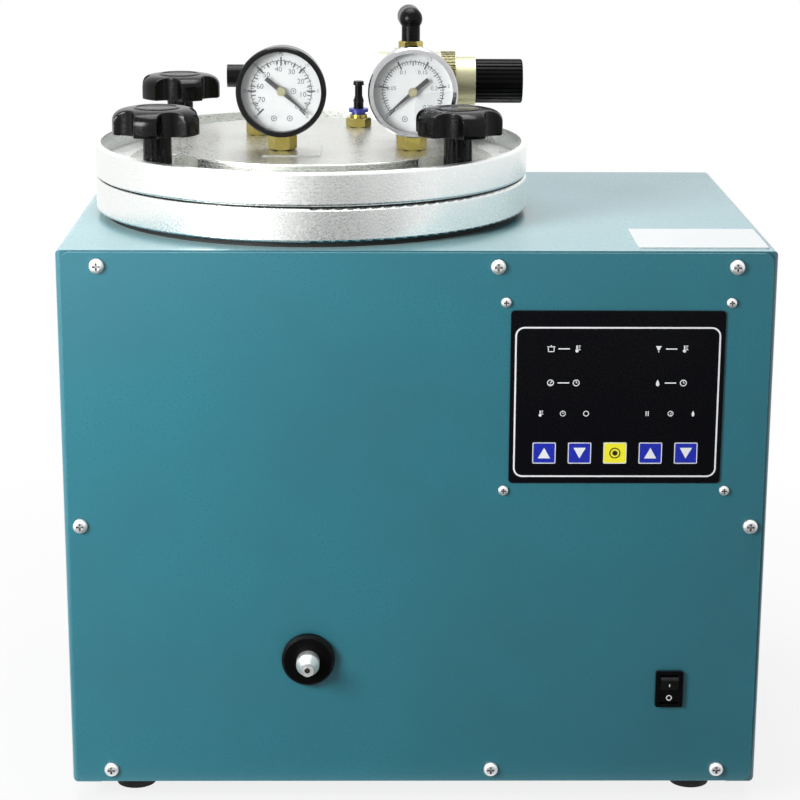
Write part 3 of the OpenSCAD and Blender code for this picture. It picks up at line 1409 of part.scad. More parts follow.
base_tray();
wrap_cover();
front_panel();
back_panel();
case_screws();
feet();
blank_plate();
wax_pot();
flange_gasket();
heater_band();
pot_jacket();
temperature_probes();
nozzle_block();
nozzle_heater();
nozzle_bush();
nozzle_body();
nozzle_tip();
nozzle_spring();
trip_switch();
control_overlay();
control_board();
board_fixings();
key(0);  // key_1
key(1);  // key_2
key(2);  // key_3
key(3);  // key_4
key(4);  // key_5
switch_frame();
switch_rocker();
transformer();
mains_inlet();
solenoid_valves();
rear_ports();
lid();
lid_seal();
clamp_knob(0);  // clamp_knob_front_left
clamp_knob(1);  // clamp_knob_front_right
clamp_knob(2);  // clamp_knob_back_left
clamp_knob(3);  // clamp_knob_back_right
washer(0);  // washer_front_left
washer(1);  // washer_front_right
washer(2);  // washer_back_left
washer(3);  // washer_back_right
vacuum_gauge_case();
pressure_gauge_case();
vacuum_pointer();
pressure_pointer();
gauge_dials();
gauge_lenses();
gauge_stems();
regulator_body();
lock_nut();
regulator_bonnet();
regulator_spindle();
regulator_knob();
air_elbow();
vacuum_elbow();
brass_fittings();
release_collar();
barbed_plug();
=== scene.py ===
"""Looks of a bench wax injector: finishes, printing, knobs, dials and a plain studio."""

import math

import bmesh
import bpy
from bpy.props import (FloatProperty, FloatVectorProperty, IntProperty, PointerProperty)
from mathutils import Matrix, Vector


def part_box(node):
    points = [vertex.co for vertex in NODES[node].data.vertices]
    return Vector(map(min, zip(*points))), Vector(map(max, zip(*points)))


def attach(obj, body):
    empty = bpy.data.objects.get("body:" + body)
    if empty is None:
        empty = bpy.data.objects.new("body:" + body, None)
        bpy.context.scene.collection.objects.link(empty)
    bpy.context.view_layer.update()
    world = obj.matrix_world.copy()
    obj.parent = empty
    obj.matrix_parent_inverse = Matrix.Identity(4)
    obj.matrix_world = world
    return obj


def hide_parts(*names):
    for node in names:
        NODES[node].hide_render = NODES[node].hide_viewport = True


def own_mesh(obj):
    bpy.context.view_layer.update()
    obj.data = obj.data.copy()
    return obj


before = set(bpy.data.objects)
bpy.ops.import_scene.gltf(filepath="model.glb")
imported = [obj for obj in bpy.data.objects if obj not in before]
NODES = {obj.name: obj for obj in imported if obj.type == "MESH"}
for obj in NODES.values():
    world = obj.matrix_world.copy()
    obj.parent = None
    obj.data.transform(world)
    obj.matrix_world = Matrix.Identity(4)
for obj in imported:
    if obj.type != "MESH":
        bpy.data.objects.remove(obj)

bl_info = {
    "name": "Wax injector looks",
    "version": (1, 0, 0),
    "blender": (4, 5, 0),
    "location": "3D View > Sidebar > Wax injector",
    "description": "Finishes and fine pieces of a bench wax injector",
    "category": "Object",
}


# ------------------------------------------------------------------ sizes and colours

def length(name, text, default):
    """A size in metres that shows its unit."""
    return FloatProperty(name=name, description=text, default=default, unit="LENGTH", precision=5)


def share(name, text, default):
    """A number from 0 to 1."""
    return FloatProperty(name=name, description=text, default=default, min=0, max=1)


def angle(name, text, default):
    """An angle, in radians here and in degrees on the screen."""
    return FloatProperty(name=name, description=text, default=default, subtype="ANGLE")


def power(name, text, default):
    """A lamp's power in watts."""
    return FloatProperty(name=name, description=text, default=default, unit="POWER")


def paint(name, text, default):
    """A colour, written as it looks on a screen, each channel from 0 to 255."""
    return FloatVectorProperty(name=name, description=text, subtype="COLOR_GAMMA", size=3, min=0, max=1,
                               default=[c / 255 for c in default])


class InjectorColours(bpy.types.PropertyGroup):
    """Colours of the injector's finishes."""
    case: paint("Case", "Powder coat of the case", (24, 107, 122))
    aluminium: paint("Aluminium", "Blasted pot, flange and lid", (248, 250, 248))
    steel: paint("Steel", "Plated screws, washers and nozzle", (236, 237, 238))
    brass: paint("Brass", "Nuts and fittings", (190, 174, 96))
    champagne: paint("Bonnet", "Anodised bonnet of the regulator", (172, 170, 140))
    black: paint("Black plastic", "Knobs, elbows and switch", (4, 4, 5))
    overlay: paint("Overlay", "Film over the controls", (6, 6, 11))
    key: paint("Keys", "The four outer keys", (20, 38, 168))
    middle_key: paint("Middle key", "The middle key", (238, 230, 38))
    collar: paint("Release collar", "Collar of the push-in fitting", (34, 46, 150))
    print_white: paint("White print", "Print on the overlay and keys", (226, 228, 230))
    print_black: paint("Black print", "Print on the dials", (24, 25, 27))


class InjectorPaint(bpy.types.PropertyGroup):
    """How the case's powder coat feels."""
    roughness: share("Roughness", "Roughness of the coat", 0.34)
    coat: share("Gloss", "Clear gloss on the coat", 0.85)
    sheen: share("Sheen", "Pale look at a low angle", 0.3)
    grain: length("Grain", "Width of the coat's fine grain", 0.0011)
    relief: length("Relief", "Depth of the coat's grain", 0.00003)
    tone: share("Cloudiness", "How much the colour wanders", 0.16)


class InjectorKnob(bpy.types.PropertyGroup):
    """Shape of the star knobs on the lid."""
    lobes: IntProperty(name="Lobes", description="Number of lobes", default=5, min=3, max=8)
    head: length("Head", "Height of the head", 0.0143)
    skirt: length("Skirt", "Height of a lobe's straight edge", 0.0065)
    crown: FloatProperty(name="Crown", description="How full the shoulder of the dome is", default=2.5, min=2,
                         max=6)
    valley: length("Valley", "Distance of a scallop's bottom from the axis", 0.0175)
    scallop: length("Scallop", "Radius of a scallop between two lobes", 0.009)
    soft: length("Softness", "Rounding of the edges", 0.0005)
    disc: length("Disc", "Radius of the raised disc on top", 0.0125)
    hub: length("Hub", "Radius of the hub", 0.0078)
    flutes: IntProperty(name="Flutes", description="Grooves round the hub", default=10, min=0, max=24)
    flute: length("Flute", "Depth of a groove in the hub", 0.0008)
    stud: length("Stud", "Radius of the threaded stud", 0.004)
    pitch: length("Pitch", "Pitch of the stud's thread", 0.00125)


class InjectorDials(bpy.types.PropertyGroup):
    """Marks on the gauges' dials."""
    depth: length("Dial depth", "Distance from a gauge's front to its dial", 0.0062)
    lift: length("Print lift", "How far print stands off what carries it", 0.00004)
    sweep: angle("Sweep", "Angle of the whole scale", math.radians(270))
    inner: length("Inner scale", "Radius of the inner scale's short marks", 0.0150)
    line: length("Scale line", "Radius of the line between the scales", 0.0166)
    outer: length("Outer scale", "Radius of the outer scale's ends", 0.0186)
    number: length("Numbers", "Height of the dial's numbers", 0.0037)


class InjectorPrint(bpy.types.PropertyGroup):
    """Print on the control overlay and the keys."""
    inset: length("Inset", "Distance of the white line from the overlay's sides", 0.0023)
    head: length("Header", "Height of the strip above the white line", 0.0087)
    foot: length("Foot", "Distance of the white line from the overlay's bottom", 0.0034)
    line: length("Line", "Width of the white line", 0.0009)
    corner: length("Corner", "Corner radius of the white line", 0.0050)
    rim: length("Key rim", "Width of a key's pale outline", 0.00045)
    arrow: length("Arrow", "Width of a key's arrow", 0.0066)
    sign: length("Sign", "Height of a sign over a display", 0.0038)


class InjectorStage(bpy.types.PropertyGroup):
    """Camera, floor and lamps."""
    floor: paint("Floor", "Colour of the floor", (188, 188, 188))
    eye: FloatVectorProperty(name="Camera", description="Place of the camera", subtype="TRANSLATION", size=3,
                             default=(-0.0238, -1.3003, 0.5439))
    yaw: angle("Yaw", "Camera's turn to the right", 0.01281)
    pitch: angle("Pitch", "Camera's tilt down", 0.2605)
    roll: angle("Roll", "Camera's roll", 0.0045)
    lens: FloatProperty(name="Lens", description="Focal length in millimetres", default=102.24)
    key: power("Key lamp", "Power of the lamp at the left front", 10.5)
    top: power("Top lamp", "Power of the lamp overhead", 43)
    fill: power("Fill lamp", "Power of the lamp at the right", 0.8)
    sky: FloatProperty(name="Room light", description="Light from all round", default=0.13, min=0)


def settings(name):
    """One of the scene's groups of settings."""
    return getattr(bpy.context.scene, "injector_" + name)


def linear(colour):
    """A screen colour as the light value that a shader takes."""
    channels = [c / 12.92 if c <= 0.04045 else ((c + 0.055) / 1.055) ** 2.4 for c in colour]
    return (*channels, 1.0)


# ------------------------------------------------------------------ node trees

def add(tree, kind, inputs=(), **facts):
    """A new node: facts are its settings, inputs are values or the outputs that feed it."""
    node = tree.nodes.new(kind)
    for name, value in facts.items():
        setattr(node, name, value)
    for name, value in dict(inputs).items():
        if isinstance(value, bpy.types.NodeSocket):
            tree.links.new(value, node.inputs[name])
        else:
            node.inputs[name].default_value = value
    return node


def calc(tree, operation, *values):
    """The output of one Math node."""
    return add(tree, "ShaderNodeMath", dict(enumerate(values)), operation=operation).outputs[0]


def vector(tree, operation, *values):
    """The outputs of one Vector Math node."""
    return add(tree, "ShaderNodeVectorMath", dict(enumerate(values)), operation=operation).outputs


def own_place(tree):
    """The point on the piece, in the piece's own metres."""
    return add(tree, "ShaderNodeTexCoord").outputs["Object"]


def remap(tree, value, low, high, start, end):
    """value, moved from the range low to high into start to end."""
    return add(tree, "ShaderNodeMapRange", {"Value": value, "From Min": low, "From Max": high,
                                            "To Min": start, "To Max": end}).outputs[0]


def blend_colour(tree, share, a, b):
    """Colour a that turns into colour b as share goes from 0 to 1."""
    node = tree.nodes.new("ShaderNodeMix")
    node.data_type = "RGBA"
    for index, value in ((0, share), (6, a), (7, b)):
        if isinstance(value, bpy.types.NodeSocket):
            tree.links.new(value, node.inputs[index])
        else:
            node.inputs[index].default_value = value
    return node.outputs[2]


def new_group(name, inputs, outputs):
    """An empty shader group with these named sockets: its tree, its inputs and its outputs."""
    tree = bpy.data.node_groups.new(name, "ShaderNodeTree")
    for title, kind, value in inputs:
        socket = tree.interface.new_socket(title, in_out="INPUT", socket_type="NodeSocket" + kind)
        socket.default_value = value
    for title, kind in outputs:
        tree.interface.new_socket(title, in_out="OUTPUT", socket_type="NodeSocket" + kind)
    return tree, add(tree, "NodeGroupInput").outputs, add(tree, "NodeGroupOutput").inputs


def grain_group():
    """Fine grain, slow clouds of tone and sparse specks, all in the object's own metres."""
    tree, given, out = new_group(
        "surface_grain", [("Grain Size", "Float", 0.001), ("Cloud Size", "Float", 0.08)],
        [("Grain", "Float"), ("Cloud", "Float"), ("Speck", "Float")])
    place = own_place(tree)
    per_grain, per_cloud = (calc(tree, "DIVIDE", 1.0, given[size]) for size in ("Grain Size", "Cloud Size"))
    per_speck = calc(tree, "DIVIDE", 0.3, given["Grain Size"])
    fine = add(tree, "ShaderNodeTexNoise", {"Vector": place, "Scale": per_grain, "Detail": 2.0,
                                            "Roughness": 0.55}).outputs["Fac"]
    cloud = add(tree, "ShaderNodeTexNoise", {"Vector": place, "Scale": per_cloud, "Detail": 3.0,
                                             "Roughness": 0.6}).outputs["Fac"]
    speck = add(tree, "ShaderNodeTexVoronoi", {"Vector": place, "Scale": per_speck}).outputs[0]
    for name, value in (("Grain", fine), ("Cloud", remap(tree, cloud, 0.3, 0.7, 0.0, 1.0)),
                        ("Speck", remap(tree, speck, 0.0, 0.28, 1.0, 0.0))):
        tree.links.new(value, out[name])
    return tree


def wear_group():
    """1 along the edges that hands and tools rub, broken up by noise, and 0 elsewhere."""
    tree, given, out = new_group("edge_wear", [("Width", "Float", 0.0006), ("Breaks", "Float", 400.0)],
                                 [("Edge", "Float")])
    rounded = add(tree, "ShaderNodeBevel", {"Radius": given["Width"]}, samples=4).outputs[0]
    flat = add(tree, "ShaderNodeNewGeometry").outputs["Normal"]
    turn = calc(tree, "SUBTRACT", 1.0, vector(tree, "DOT_PRODUCT", rounded, flat)[1])
    place = own_place(tree)
    breaks = add(tree, "ShaderNodeTexNoise", {"Vector": place, "Scale": given["Breaks"]}).outputs["Fac"]
    rubbed, broken = remap(tree, turn, 0.02, 0.22, 0.0, 1.0), remap(tree, breaks, 0.4, 0.6, 0.2, 1.0)
    edge = calc(tree, "MULTIPLY", rubbed, broken)
    tree.links.new(edge, out["Edge"])
    return tree


def grime_group():
    """Painted shade: 1 deep in corners, slots and seams, where ambient occlusion finds them, and 0 in the open."""
    tree, given, out = new_group("painted_corner_shade", [("Reach", "Float", 0.001)], [("Dark", "Float")])
    open_share = add(tree, "ShaderNodeAmbientOcclusion", {"Distance": given["Reach"]}, samples=8,
                     only_local=False).outputs["AO"]
    tree.links.new(remap(tree, open_share, 0.25, 0.85, 1.0, 0.0), out["Dark"])
    return tree


def turned_group():
    """Fine rings of a lathe tool round an axis: across a face and along a side."""
    tree, given, out = new_group(
        "turned_marks",
        [("Centre", "Vector", (0, 0, 0)), ("Axis", "Vector", (0, 0, 1)), ("Pitch", "Float", 0.0006)],
        [("Ring", "Float")])
    place = own_place(tree)
    away = vector(tree, "SUBTRACT", place, given["Centre"])[0]
    along = vector(tree, "DOT_PRODUCT", away, given["Axis"])[1]
    across = vector(tree, "LENGTH", vector(tree, "CROSS_PRODUCT", away, given["Axis"])[0])[1]
    wave = calc(tree, "DIVIDE", calc(tree, "ADD", along, across), given["Pitch"])
    uneven = add(tree, "ShaderNodeTexNoise", {"W": wave, "Scale": 1.0, "Detail": 2.0},
                 noise_dimensions="1D").outputs[0]
    tree.links.new(uneven, out["Ring"])
    return tree


EFFECTS = {"grain": grain_group, "wear": wear_group, "painted_shade": grime_group, "turned": turned_group}
GROUPS = {}


def effect(tree, name, **inputs):
    """The outputs of a shared group placed in this material with its own values."""
    if name not in GROUPS:
        GROUPS[name] = EFFECTS[name]()
    values = {title.replace("_", " "): value for title, value in inputs.items()}
    return add(tree, "ShaderNodeGroup", values, node_tree=GROUPS[name]).outputs


def seen_straight(tree):
    """1 for what the camera sees, straight or by way of gloss or glass, and 0 for light that falls on things."""
    path = add(tree, "ShaderNodeLightPath").outputs
    return calc(tree, "MAXIMUM", path["Is Camera Ray"],
                calc(tree, "MAXIMUM", path["Is Glossy Ray"], path["Is Transmission Ray"]))


def new_material(name):
    """A material, its node tree and its main shader."""
    material = bpy.data.materials.new(name)
    material.use_nodes = True
    return material, material.node_tree, material.node_tree.nodes["Principled BSDF"]


SHEEN_TINT = (0.75, 1.0, 0.98, 1.0)
PAINTED_SHADE_LEFT = 0.08      # what is left of the colour where the painted shade is thickest


def finish(name, colour, rough=0.5, metal=0.0, coat=0.0, coat_rough=0.08, ior=1.5, grain=0.0008, relief=0.00002,
           cloud=0.06, tone=0.15, speck=0.0, worn=None, worn_width=0.0006, worn_breaks=600.0, turned=None,
           clear=0.0, mask=None, spread=0.08, shine=0.5, sheen=0.0, painted_shade=0.0, painted_shade_reach=0.001):
    """A material of one finish.

    colour is a screen colour from 0 to 1, and worn the screen colour of rubbed edges from 0 to 255. turned is
    the centre, axis, pitch and strength of lathe rings. mask(tree, colour) may repaint parts of the piece by
    their place.
    """
    material, tree, shader = new_material(name)
    marks = effect(tree, "grain", Grain_Size=grain, Cloud_Size=cloud)
    shade = linear(colour)
    darker = (*[c * (1 - tone) for c in shade[:3]], 1.0)
    look = blend_colour(tree, marks["Cloud"], shade, darker)
    if speck:
        paler = (*[min(1.0, c * 1.5 + 0.02) for c in shade[:3]], 1.0)
        look = blend_colour(tree, calc(tree, "MULTIPLY", marks["Speck"], speck), look, paler)
    gloss = calc(tree, "ADD", remap(tree, marks["Grain"], 0.3, 0.7, rough - spread, rough + spread),
                 remap(tree, marks["Cloud"], 0.0, 1.0, -spread / 2, spread / 2))
    if mask:
        look = mask(tree, look)
    if worn is not None:
        edge = effect(tree, "wear", Width=worn_width, Breaks=worn_breaks)["Edge"]
        look = blend_colour(tree, edge, look, linear([c / 255 for c in worn]))
    # painted shade: the colour darkens in corners, slots and seams that ambient occlusion finds
    if painted_shade:
        dark = calc(tree, "MULTIPLY", effect(tree, "painted_shade", Reach=painted_shade_reach)["Dark"], painted_shade)
        look = blend_colour(tree, dark, look, (*[c * PAINTED_SHADE_LEFT for c in shade[:3]], 1.0))
    height = marks["Grain"]
    if turned:
        centre, axis, pitch, strength = turned
        ring = effect(tree, "turned", Centre=centre, Axis=axis, Pitch=pitch)["Ring"]
        height = calc(tree, "ADD", calc(tree, "MULTIPLY", ring, strength), height)
        gloss = calc(tree, "ADD", gloss, remap(tree, ring, 0.3, 0.7, -0.05, 0.05))
    bump = add(tree, "ShaderNodeBump", {"Strength": 1.0, "Distance": relief, "Height": height})
    tree.links.new(look, shader.inputs["Base Color"])
    tree.links.new(gloss, shader.inputs["Roughness"])
    tree.links.new(bump.outputs[0], shader.inputs["Normal"])
    for title, value in (("Metallic", metal), ("Coat Weight", coat), ("Coat Roughness", coat_rough), ("IOR", ior),
                         ("Transmission Weight", clear), ("Specular IOR Level", shine), ("Sheen Weight", sheen),
                         ("Sheen Tint", SHEEN_TINT)):
        shader.inputs[title].default_value = value
    return material


def ink(name, colour, rough=0.4, tone=0.04):
    """Thin print, with next to no relief of its own."""
    return finish(name, colour, rough, grain=0.0003, relief=0.000004, tone=tone)


def dress(material, *names):
    """Gives CAD nodes a finish."""
    for name in names:
        slots = NODES[name].material_slots
        for slot in slots:
            slot.material = material
        if not slots:
            NODES[name].data.materials.append(material)


def inside_ball(tree, centre, radius):
    """1 within radius of a point of the part, and 0 outside."""
    place = own_place(tree)
    return calc(tree, "LESS_THAN", vector(tree, "DISTANCE", place, centre)[1], radius)


def beyond(tree, axis, value, above=True):
    """1 on the far side of a level plane across X, Y or Z."""
    place = add(tree, "ShaderNodeSeparateXYZ", {0: own_place(tree)}).outputs[axis]
    return calc(tree, "GREATER_THAN" if above else "LESS_THAN", place, value)


# ------------------------------------------------------------------ meshes

def front_middle(node, inward=0.0):
    """The middle of the front of a node's box, or the point that far behind it."""
    low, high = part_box(node)
    return Vector(((low.x + high.x) / 2, low.y + inward, (low.z + high.z) / 2))


def top_middle(node, down=0.0):
    """The middle of the top of a node's box, or the point that far below it."""
    low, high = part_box(node)
    return Vector(((low.x + high.x) / 2, (low.y + high.y) / 2, high.z - down))


def add_object(name, data):
    """A new object in the scene."""
    ob = bpy.data.objects.new(name, data)
    bpy.context.scene.collection.objects.link(ob)
    return ob


def plain_mesh(ob):
    """The object's evaluated result as a mesh of its own."""
    bpy.context.view_layer.update()
    return bpy.data.meshes.new_from_object(ob.evaluated_get(bpy.context.evaluated_depsgraph_get()))


def piece(name, mesh, material, body, smooth=None, replaces=()):
    """Makes a finished mesh a piece that rides on a body."""
    ob = add_object(name, mesh)
    mesh.materials.clear()
    mesh.materials.append(material)
    if smooth is not None:
        mesh.shade_smooth()
        mesh.set_sharp_from_angle(angle=math.radians(smooth))
    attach(ob, body)
    if replaces:
        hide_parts(*replaces)
    return ob


def skin(name, rings, bottom=True, top=True):
    """A closed skin over rings of points, from the lowest ring to the highest."""
    mesh = bpy.data.meshes.new(name)
    shape = bmesh.new()
    rows = [[shape.verts.new(p) for p in ring] for ring in rings]
    count = len(rows[0])
    for low, high in zip(rows, rows[1:]):
        for i in range(count):
            j = (i + 1) % count
            shape.faces.new((low[i], low[j], high[j], high[i]))
    if bottom:
        shape.faces.new(list(reversed(rows[0])))
    if top:
        shape.faces.new(rows[-1])
    bmesh.ops.recalc_face_normals(shape, faces=shape.faces[:])
    shape.to_mesh(mesh)
    shape.free()
    return mesh


def flat_mesh(name, polygons, place=None):
    """Flat print: polygons are lists of (across, up) in metres, and place puts them on the part."""
    mesh = bpy.data.meshes.new(name)
    points, faces = [], []
    for polygon in polygons:
        faces.append(list(range(len(points), len(points) + len(polygon))))
        points += [(x, 0.0, z) for x, z in polygon]
    mesh.from_pydata(points, [], faces)
    if place:
        mesh.transform(place)
    return mesh


def join_meshes(name, meshes):
    """Several meshes as one."""
    joined = bpy.data.meshes.new(name)
    shape = bmesh.new()
    for mesh in meshes:
        shape.from_mesh(mesh)
        bpy.data.meshes.remove(mesh)
    shape.to_mesh(joined)
    shape.free()
    return joined


def rounded_outline(width, height, radius, steps=8):
    """Points round a rounded rectangle about the middle, the same way round each time."""
    points = []
    for cx, cz, start in ((1, 1, 0), (-1, 1, 90), (-1, -1, 180), (1, -1, 270)):
        for i in range(steps + 1):
            a = math.radians(start + 90 * i / steps)
            points.append((cx * (width / 2 - radius) + radius * math.cos(a),
                           cz * (height / 2 - radius) + radius * math.sin(a)))
    return points


def band(outer, inner):
    """Four-sided pieces between two outlines with as many points."""
    count = len(outer)
    return [[outer[i], inner[i], inner[(i + 1) % count], outer[(i + 1) % count]] for i in range(count)]


def circle(radius, steps=48, cx=0.0, cz=0.0):
    """Points round a circle."""
    return [(cx + radius * math.cos(2 * math.pi * i / steps), cz + radius * math.sin(2 * math.pi * i / steps))
            for i in range(steps)]


def bar(x0, z0, x1, z1, width):
    """A straight stroke as one four-sided piece."""
    dx, dz = x1 - x0, z1 - z0
    size = math.hypot(dx, dz) or 1.0
    nx, nz = -dz / size * width / 2, dx / size * width / 2
    return [(x0 + nx, z0 + nz), (x0 - nx, z0 - nz), (x1 - nx, z1 - nz), (x1 + nx, z1 + nz)]


SIZE_OF_HEIGHT = 1.38       # font size over the height of its figures


def words(text, height, x, z):
    """A number as a flat mesh that faces the front, with its middle at x and z."""
    curve = bpy.data.curves.new("number", "FONT")
    curve.body, curve.size = text, height * SIZE_OF_HEIGHT
    curve.align_x, curve.align_y = "CENTER", "CENTER"
    curve.resolution_u = 3
    ob = add_object("number", curve)
    mesh = plain_mesh(ob)
    bpy.data.objects.remove(ob)
    bpy.data.curves.remove(curve)
    mesh.transform(Matrix.Translation((x, 0, z)) @ Matrix.Rotation(math.pi / 2, 4, "X"))
    return mesh


# ------------------------------------------------------------------ geometry node trees

def grow(name, build, inputs):
    """Runs a geometry tree with these named inputs and gives its result as a plain mesh."""
    tree = build()
    ob = add_object(name, bpy.data.meshes.new(name))
    modifier = ob.modifiers.new(name, "NODES")
    modifier.node_group = tree
    for item in tree.interface.items_tree:
        if item.item_type == "SOCKET" and item.in_out == "INPUT" and item.name in inputs:
            modifier[item.identifier] = inputs[item.name]
    mesh = plain_mesh(ob)
    ob.modifiers.clear()
    bpy.data.objects.remove(ob)
    if not mesh.polygons:
        raise RuntimeError(name + " came out empty")
    return mesh


def new_shape_tree(name, inputs):
    """An empty geometry tree with these named inputs."""
    tree = bpy.data.node_groups.new(name, "GeometryNodeTree")
    for title, kind, value in inputs:
        socket = tree.interface.new_socket(title, in_out="INPUT", socket_type="NodeSocket" + kind)
        if value is not None:
            socket.default_value = value
    tree.interface.new_socket("Geometry", in_out="OUTPUT", socket_type="NodeSocketGeometry")
    return tree, add(tree, "NodeGroupInput").outputs


def end_shape_tree(tree, shape, material):
    """Ends a tree in real geometry that carries its material."""
    real = add(tree, "GeometryNodeRealizeInstances", {0: shape}).outputs[0]
    done = add(tree, "GeometryNodeSetMaterial", {"Geometry": real, "Material": material}).outputs[0]
    add(tree, "NodeGroupOutput", {"Geometry": done})
    return tree


def scale_marks_tree():
    """Short strokes along an arc that faces the front."""
    tree, given = new_shape_tree("scale_marks", [
        ("Count", "Int", 11), ("First Angle", "Float", 0.0), ("Sweep", "Float", 1.0),
        ("Inner Radius", "Float", 0.01), ("Outer Radius", "Float", 0.02), ("Width", "Float", 0.0003),
        ("Material", "Material", None)])
    step = calc(tree, "DIVIDE", given["Sweep"], calc(tree, "SUBTRACT", given["Count"], 1.0))
    index = add(tree, "GeometryNodeInputIndex").outputs[0]
    angle = calc(tree, "ADD", given["First Angle"], calc(tree, "MULTIPLY", index, step))
    middle = calc(tree, "MULTIPLY", calc(tree, "ADD", given["Inner Radius"], given["Outer Radius"]), 0.5)
    place = add(tree, "ShaderNodeCombineXYZ", {
        "X": calc(tree, "MULTIPLY", calc(tree, "COSINE", angle), middle),
        "Z": calc(tree, "MULTIPLY", calc(tree, "SINE", angle), middle)}).outputs[0]
    points = add(tree, "GeometryNodePoints", {"Count": given["Count"], "Position": place}).outputs[0]
    stroke = add(tree, "GeometryNodeMeshGrid", {
        "Size X": calc(tree, "SUBTRACT", given["Outer Radius"], given["Inner Radius"]), "Size Y": given["Width"],
        "Vertices X": 2, "Vertices Y": 2}).outputs[0]
    upright = add(tree, "GeometryNodeTransform", {"Geometry": stroke, "Rotation": (math.pi / 2, 0, 0)}).outputs[0]
    turn = add(tree, "ShaderNodeCombineXYZ", {"Y": calc(tree, "MULTIPLY", angle, -1.0)}).outputs[0]
    turn = add(tree, "FunctionNodeEulerToRotation", {0: turn}).outputs[0]
    strokes = add(tree, "GeometryNodeInstanceOnPoints", {"Points": points, "Instance": upright, "Rotation": turn})
    return end_shape_tree(tree, strokes.outputs[0], given["Material"])


def spring_tree():
    """A round wire wound along Y."""
    tree, given = new_shape_tree("return_spring", [
        ("Turns", "Float", 6.0), ("Radius", "Float", 0.008), ("Height", "Float", 0.014), ("Wire", "Float", 0.0006),
        ("Start", "Vector", (0, 0, 0)), ("Material", "Material", None)])
    coil = add(tree, "GeometryNodeCurveSpiral", {
        "Resolution": 40, "Rotations": given["Turns"], "Start Radius": given["Radius"],
        "End Radius": given["Radius"], "Height": given["Height"]}).outputs[0]
    coil = add(tree, "GeometryNodeTransform", {"Geometry": coil, "Translation": given["Start"],
                                               "Rotation": (-math.pi / 2, 0, 0)}).outputs[0]
    wire = add(tree, "GeometryNodeCurvePrimitiveCircle", {"Resolution": 12, "Radius": given["Wire"]}).outputs[0]
    round_wire = add(tree, "GeometryNodeCurveToMesh", {"Curve": coil, "Profile Curve": wire, "Fill Caps": True})
    return end_shape_tree(tree, round_wire.outputs[0], given["Material"])


# ------------------------------------------------------------------ operators

class MakerOperator(bpy.types.Operator):
    """Base of the injector's operators."""
    bl_options = {"REGISTER", "UNDO"}

    def execute(self, context):
        """Runs make, which raises an error if it can't finish."""
        self.make()
        return {"FINISHED"}


class INJECTOR_OT_case(MakerOperator):
    """Powder coat, plate, feet and screws of the case"""
    bl_idname = "injector.case"
    bl_label = "Case"

    def make(self):
        colours, coat = settings("colours"), settings("paint")
        # painted shade darkens the coat in its corners and seams
        dress(finish("case_paint", colours.case, coat.roughness, coat=coat.coat, coat_rough=0.22, grain=coat.grain,
                     relief=coat.relief, tone=coat.tone, cloud=0.11, speck=0.1, worn=(84, 150, 165),
                     worn_width=0.0007, sheen=coat.sheen, painted_shade=0.8, painted_shade_reach=0.0014),
              "base_tray", "wrap_cover", "front_panel", "back_panel")
        # painted shade darkens the screws' recesses and the ring round their heads
        dress(finish("screw_plate", (0.97, 0.97, 0.97), 0.46, metal=1, grain=0.0005, cloud=0.01, tone=0.12,
                     worn=(252, 252, 252), worn_width=0.0004, painted_shade=1.0, painted_shade_reach=0.0018), "case_screws",
              "board_fixings")
        dress(finish("foot_rubber", (0.05, 0.05, 0.052), 0.78, grain=0.0012, relief=0.00006, cloud=0.01, tone=0.35,
                     worn=(52, 52, 52)), "feet")
        dress(finish("plate_film", (0.75, 0.765, 0.77), 0.42, coat=0.3, grain=0.0006, relief=0.000008, tone=0.03,
                     cloud=0.03, worn=(205, 208, 210), worn_width=0.0004), "blank_plate")


class INJECTOR_OT_pot(MakerOperator):
    """Blasted aluminium of the pot and lid, their seals and the pieces round the pot"""
    bl_idname = "injector.pot"
    bl_label = "Pot and lid"

    def make(self):
        colours = settings("colours")
        middle = top_middle("lid")
        centre = (middle.x, middle.y, 0)
        # painted shade darkens the blasted aluminium in corners and near fittings
        blasted = dict(metal=1, grain=0.0011, relief=0.00004, cloud=0.05, tone=0.05, spread=0.08,
                       worn=(252, 252, 252), worn_width=0.0004, worn_breaks=1600, painted_shade=0.45, painted_shade_reach=0.006)
        dress(finish("blasted_pot", colours.aluminium, 0.3, **blasted), "wax_pot")
        # the lid's raised middle gets painted shade
        dress(finish("blasted_lid", colours.aluminium, 0.32, turned=(centre, (0, 0, 1), 0.0006, 0.06),
                     mask=self.plateau, **blasted), "lid")
        dress(finish("gasket_rubber", (0.03, 0.03, 0.03), 0.7, grain=0.0008, relief=0.00003, cloud=0.02,
                     worn=(30, 30, 30)), "flange_gasket", "lid_seal")
        dress(finish("heater_sheet", (0.62, 0.57, 0.48), 0.36, metal=1, grain=0.0006, cloud=0.04, tone=0.4,
                     worn=(210, 205, 190)), "heater_band", "nozzle_heater")
        dress(finish("jacket_wool", (0.9, 0.85, 0.62), 0.95, grain=0.0016, relief=0.0006, cloud=0.012, tone=0.22,
                     speck=0.3), "pot_jacket")
        dress(finish("probe_steel", colours.steel, 0.3, metal=1, grain=0.0005, worn=(240, 240, 240)),
              "temperature_probes")
        dress(finish("milled_block", colours.aluminium, 0.34, metal=1, grain=0.0005, relief=0.00002, tone=0.12,
                     turned=((0, 0, 0), (1, 0, 0), 0.0012, 0.6), worn=(245, 245, 245)), "nozzle_block")

    @staticmethod
    def plateau(tree, look):
        """Painted shade: the lid's raised middle is painted darker than its rim."""
        down, reach, plateau_shade_colour = 0.01, 0.104, (0.58, 0.59, 0.56, 1)
        return blend_colour(tree, inside_ball(tree, top_middle("lid", down), reach), look, plateau_shade_colour)


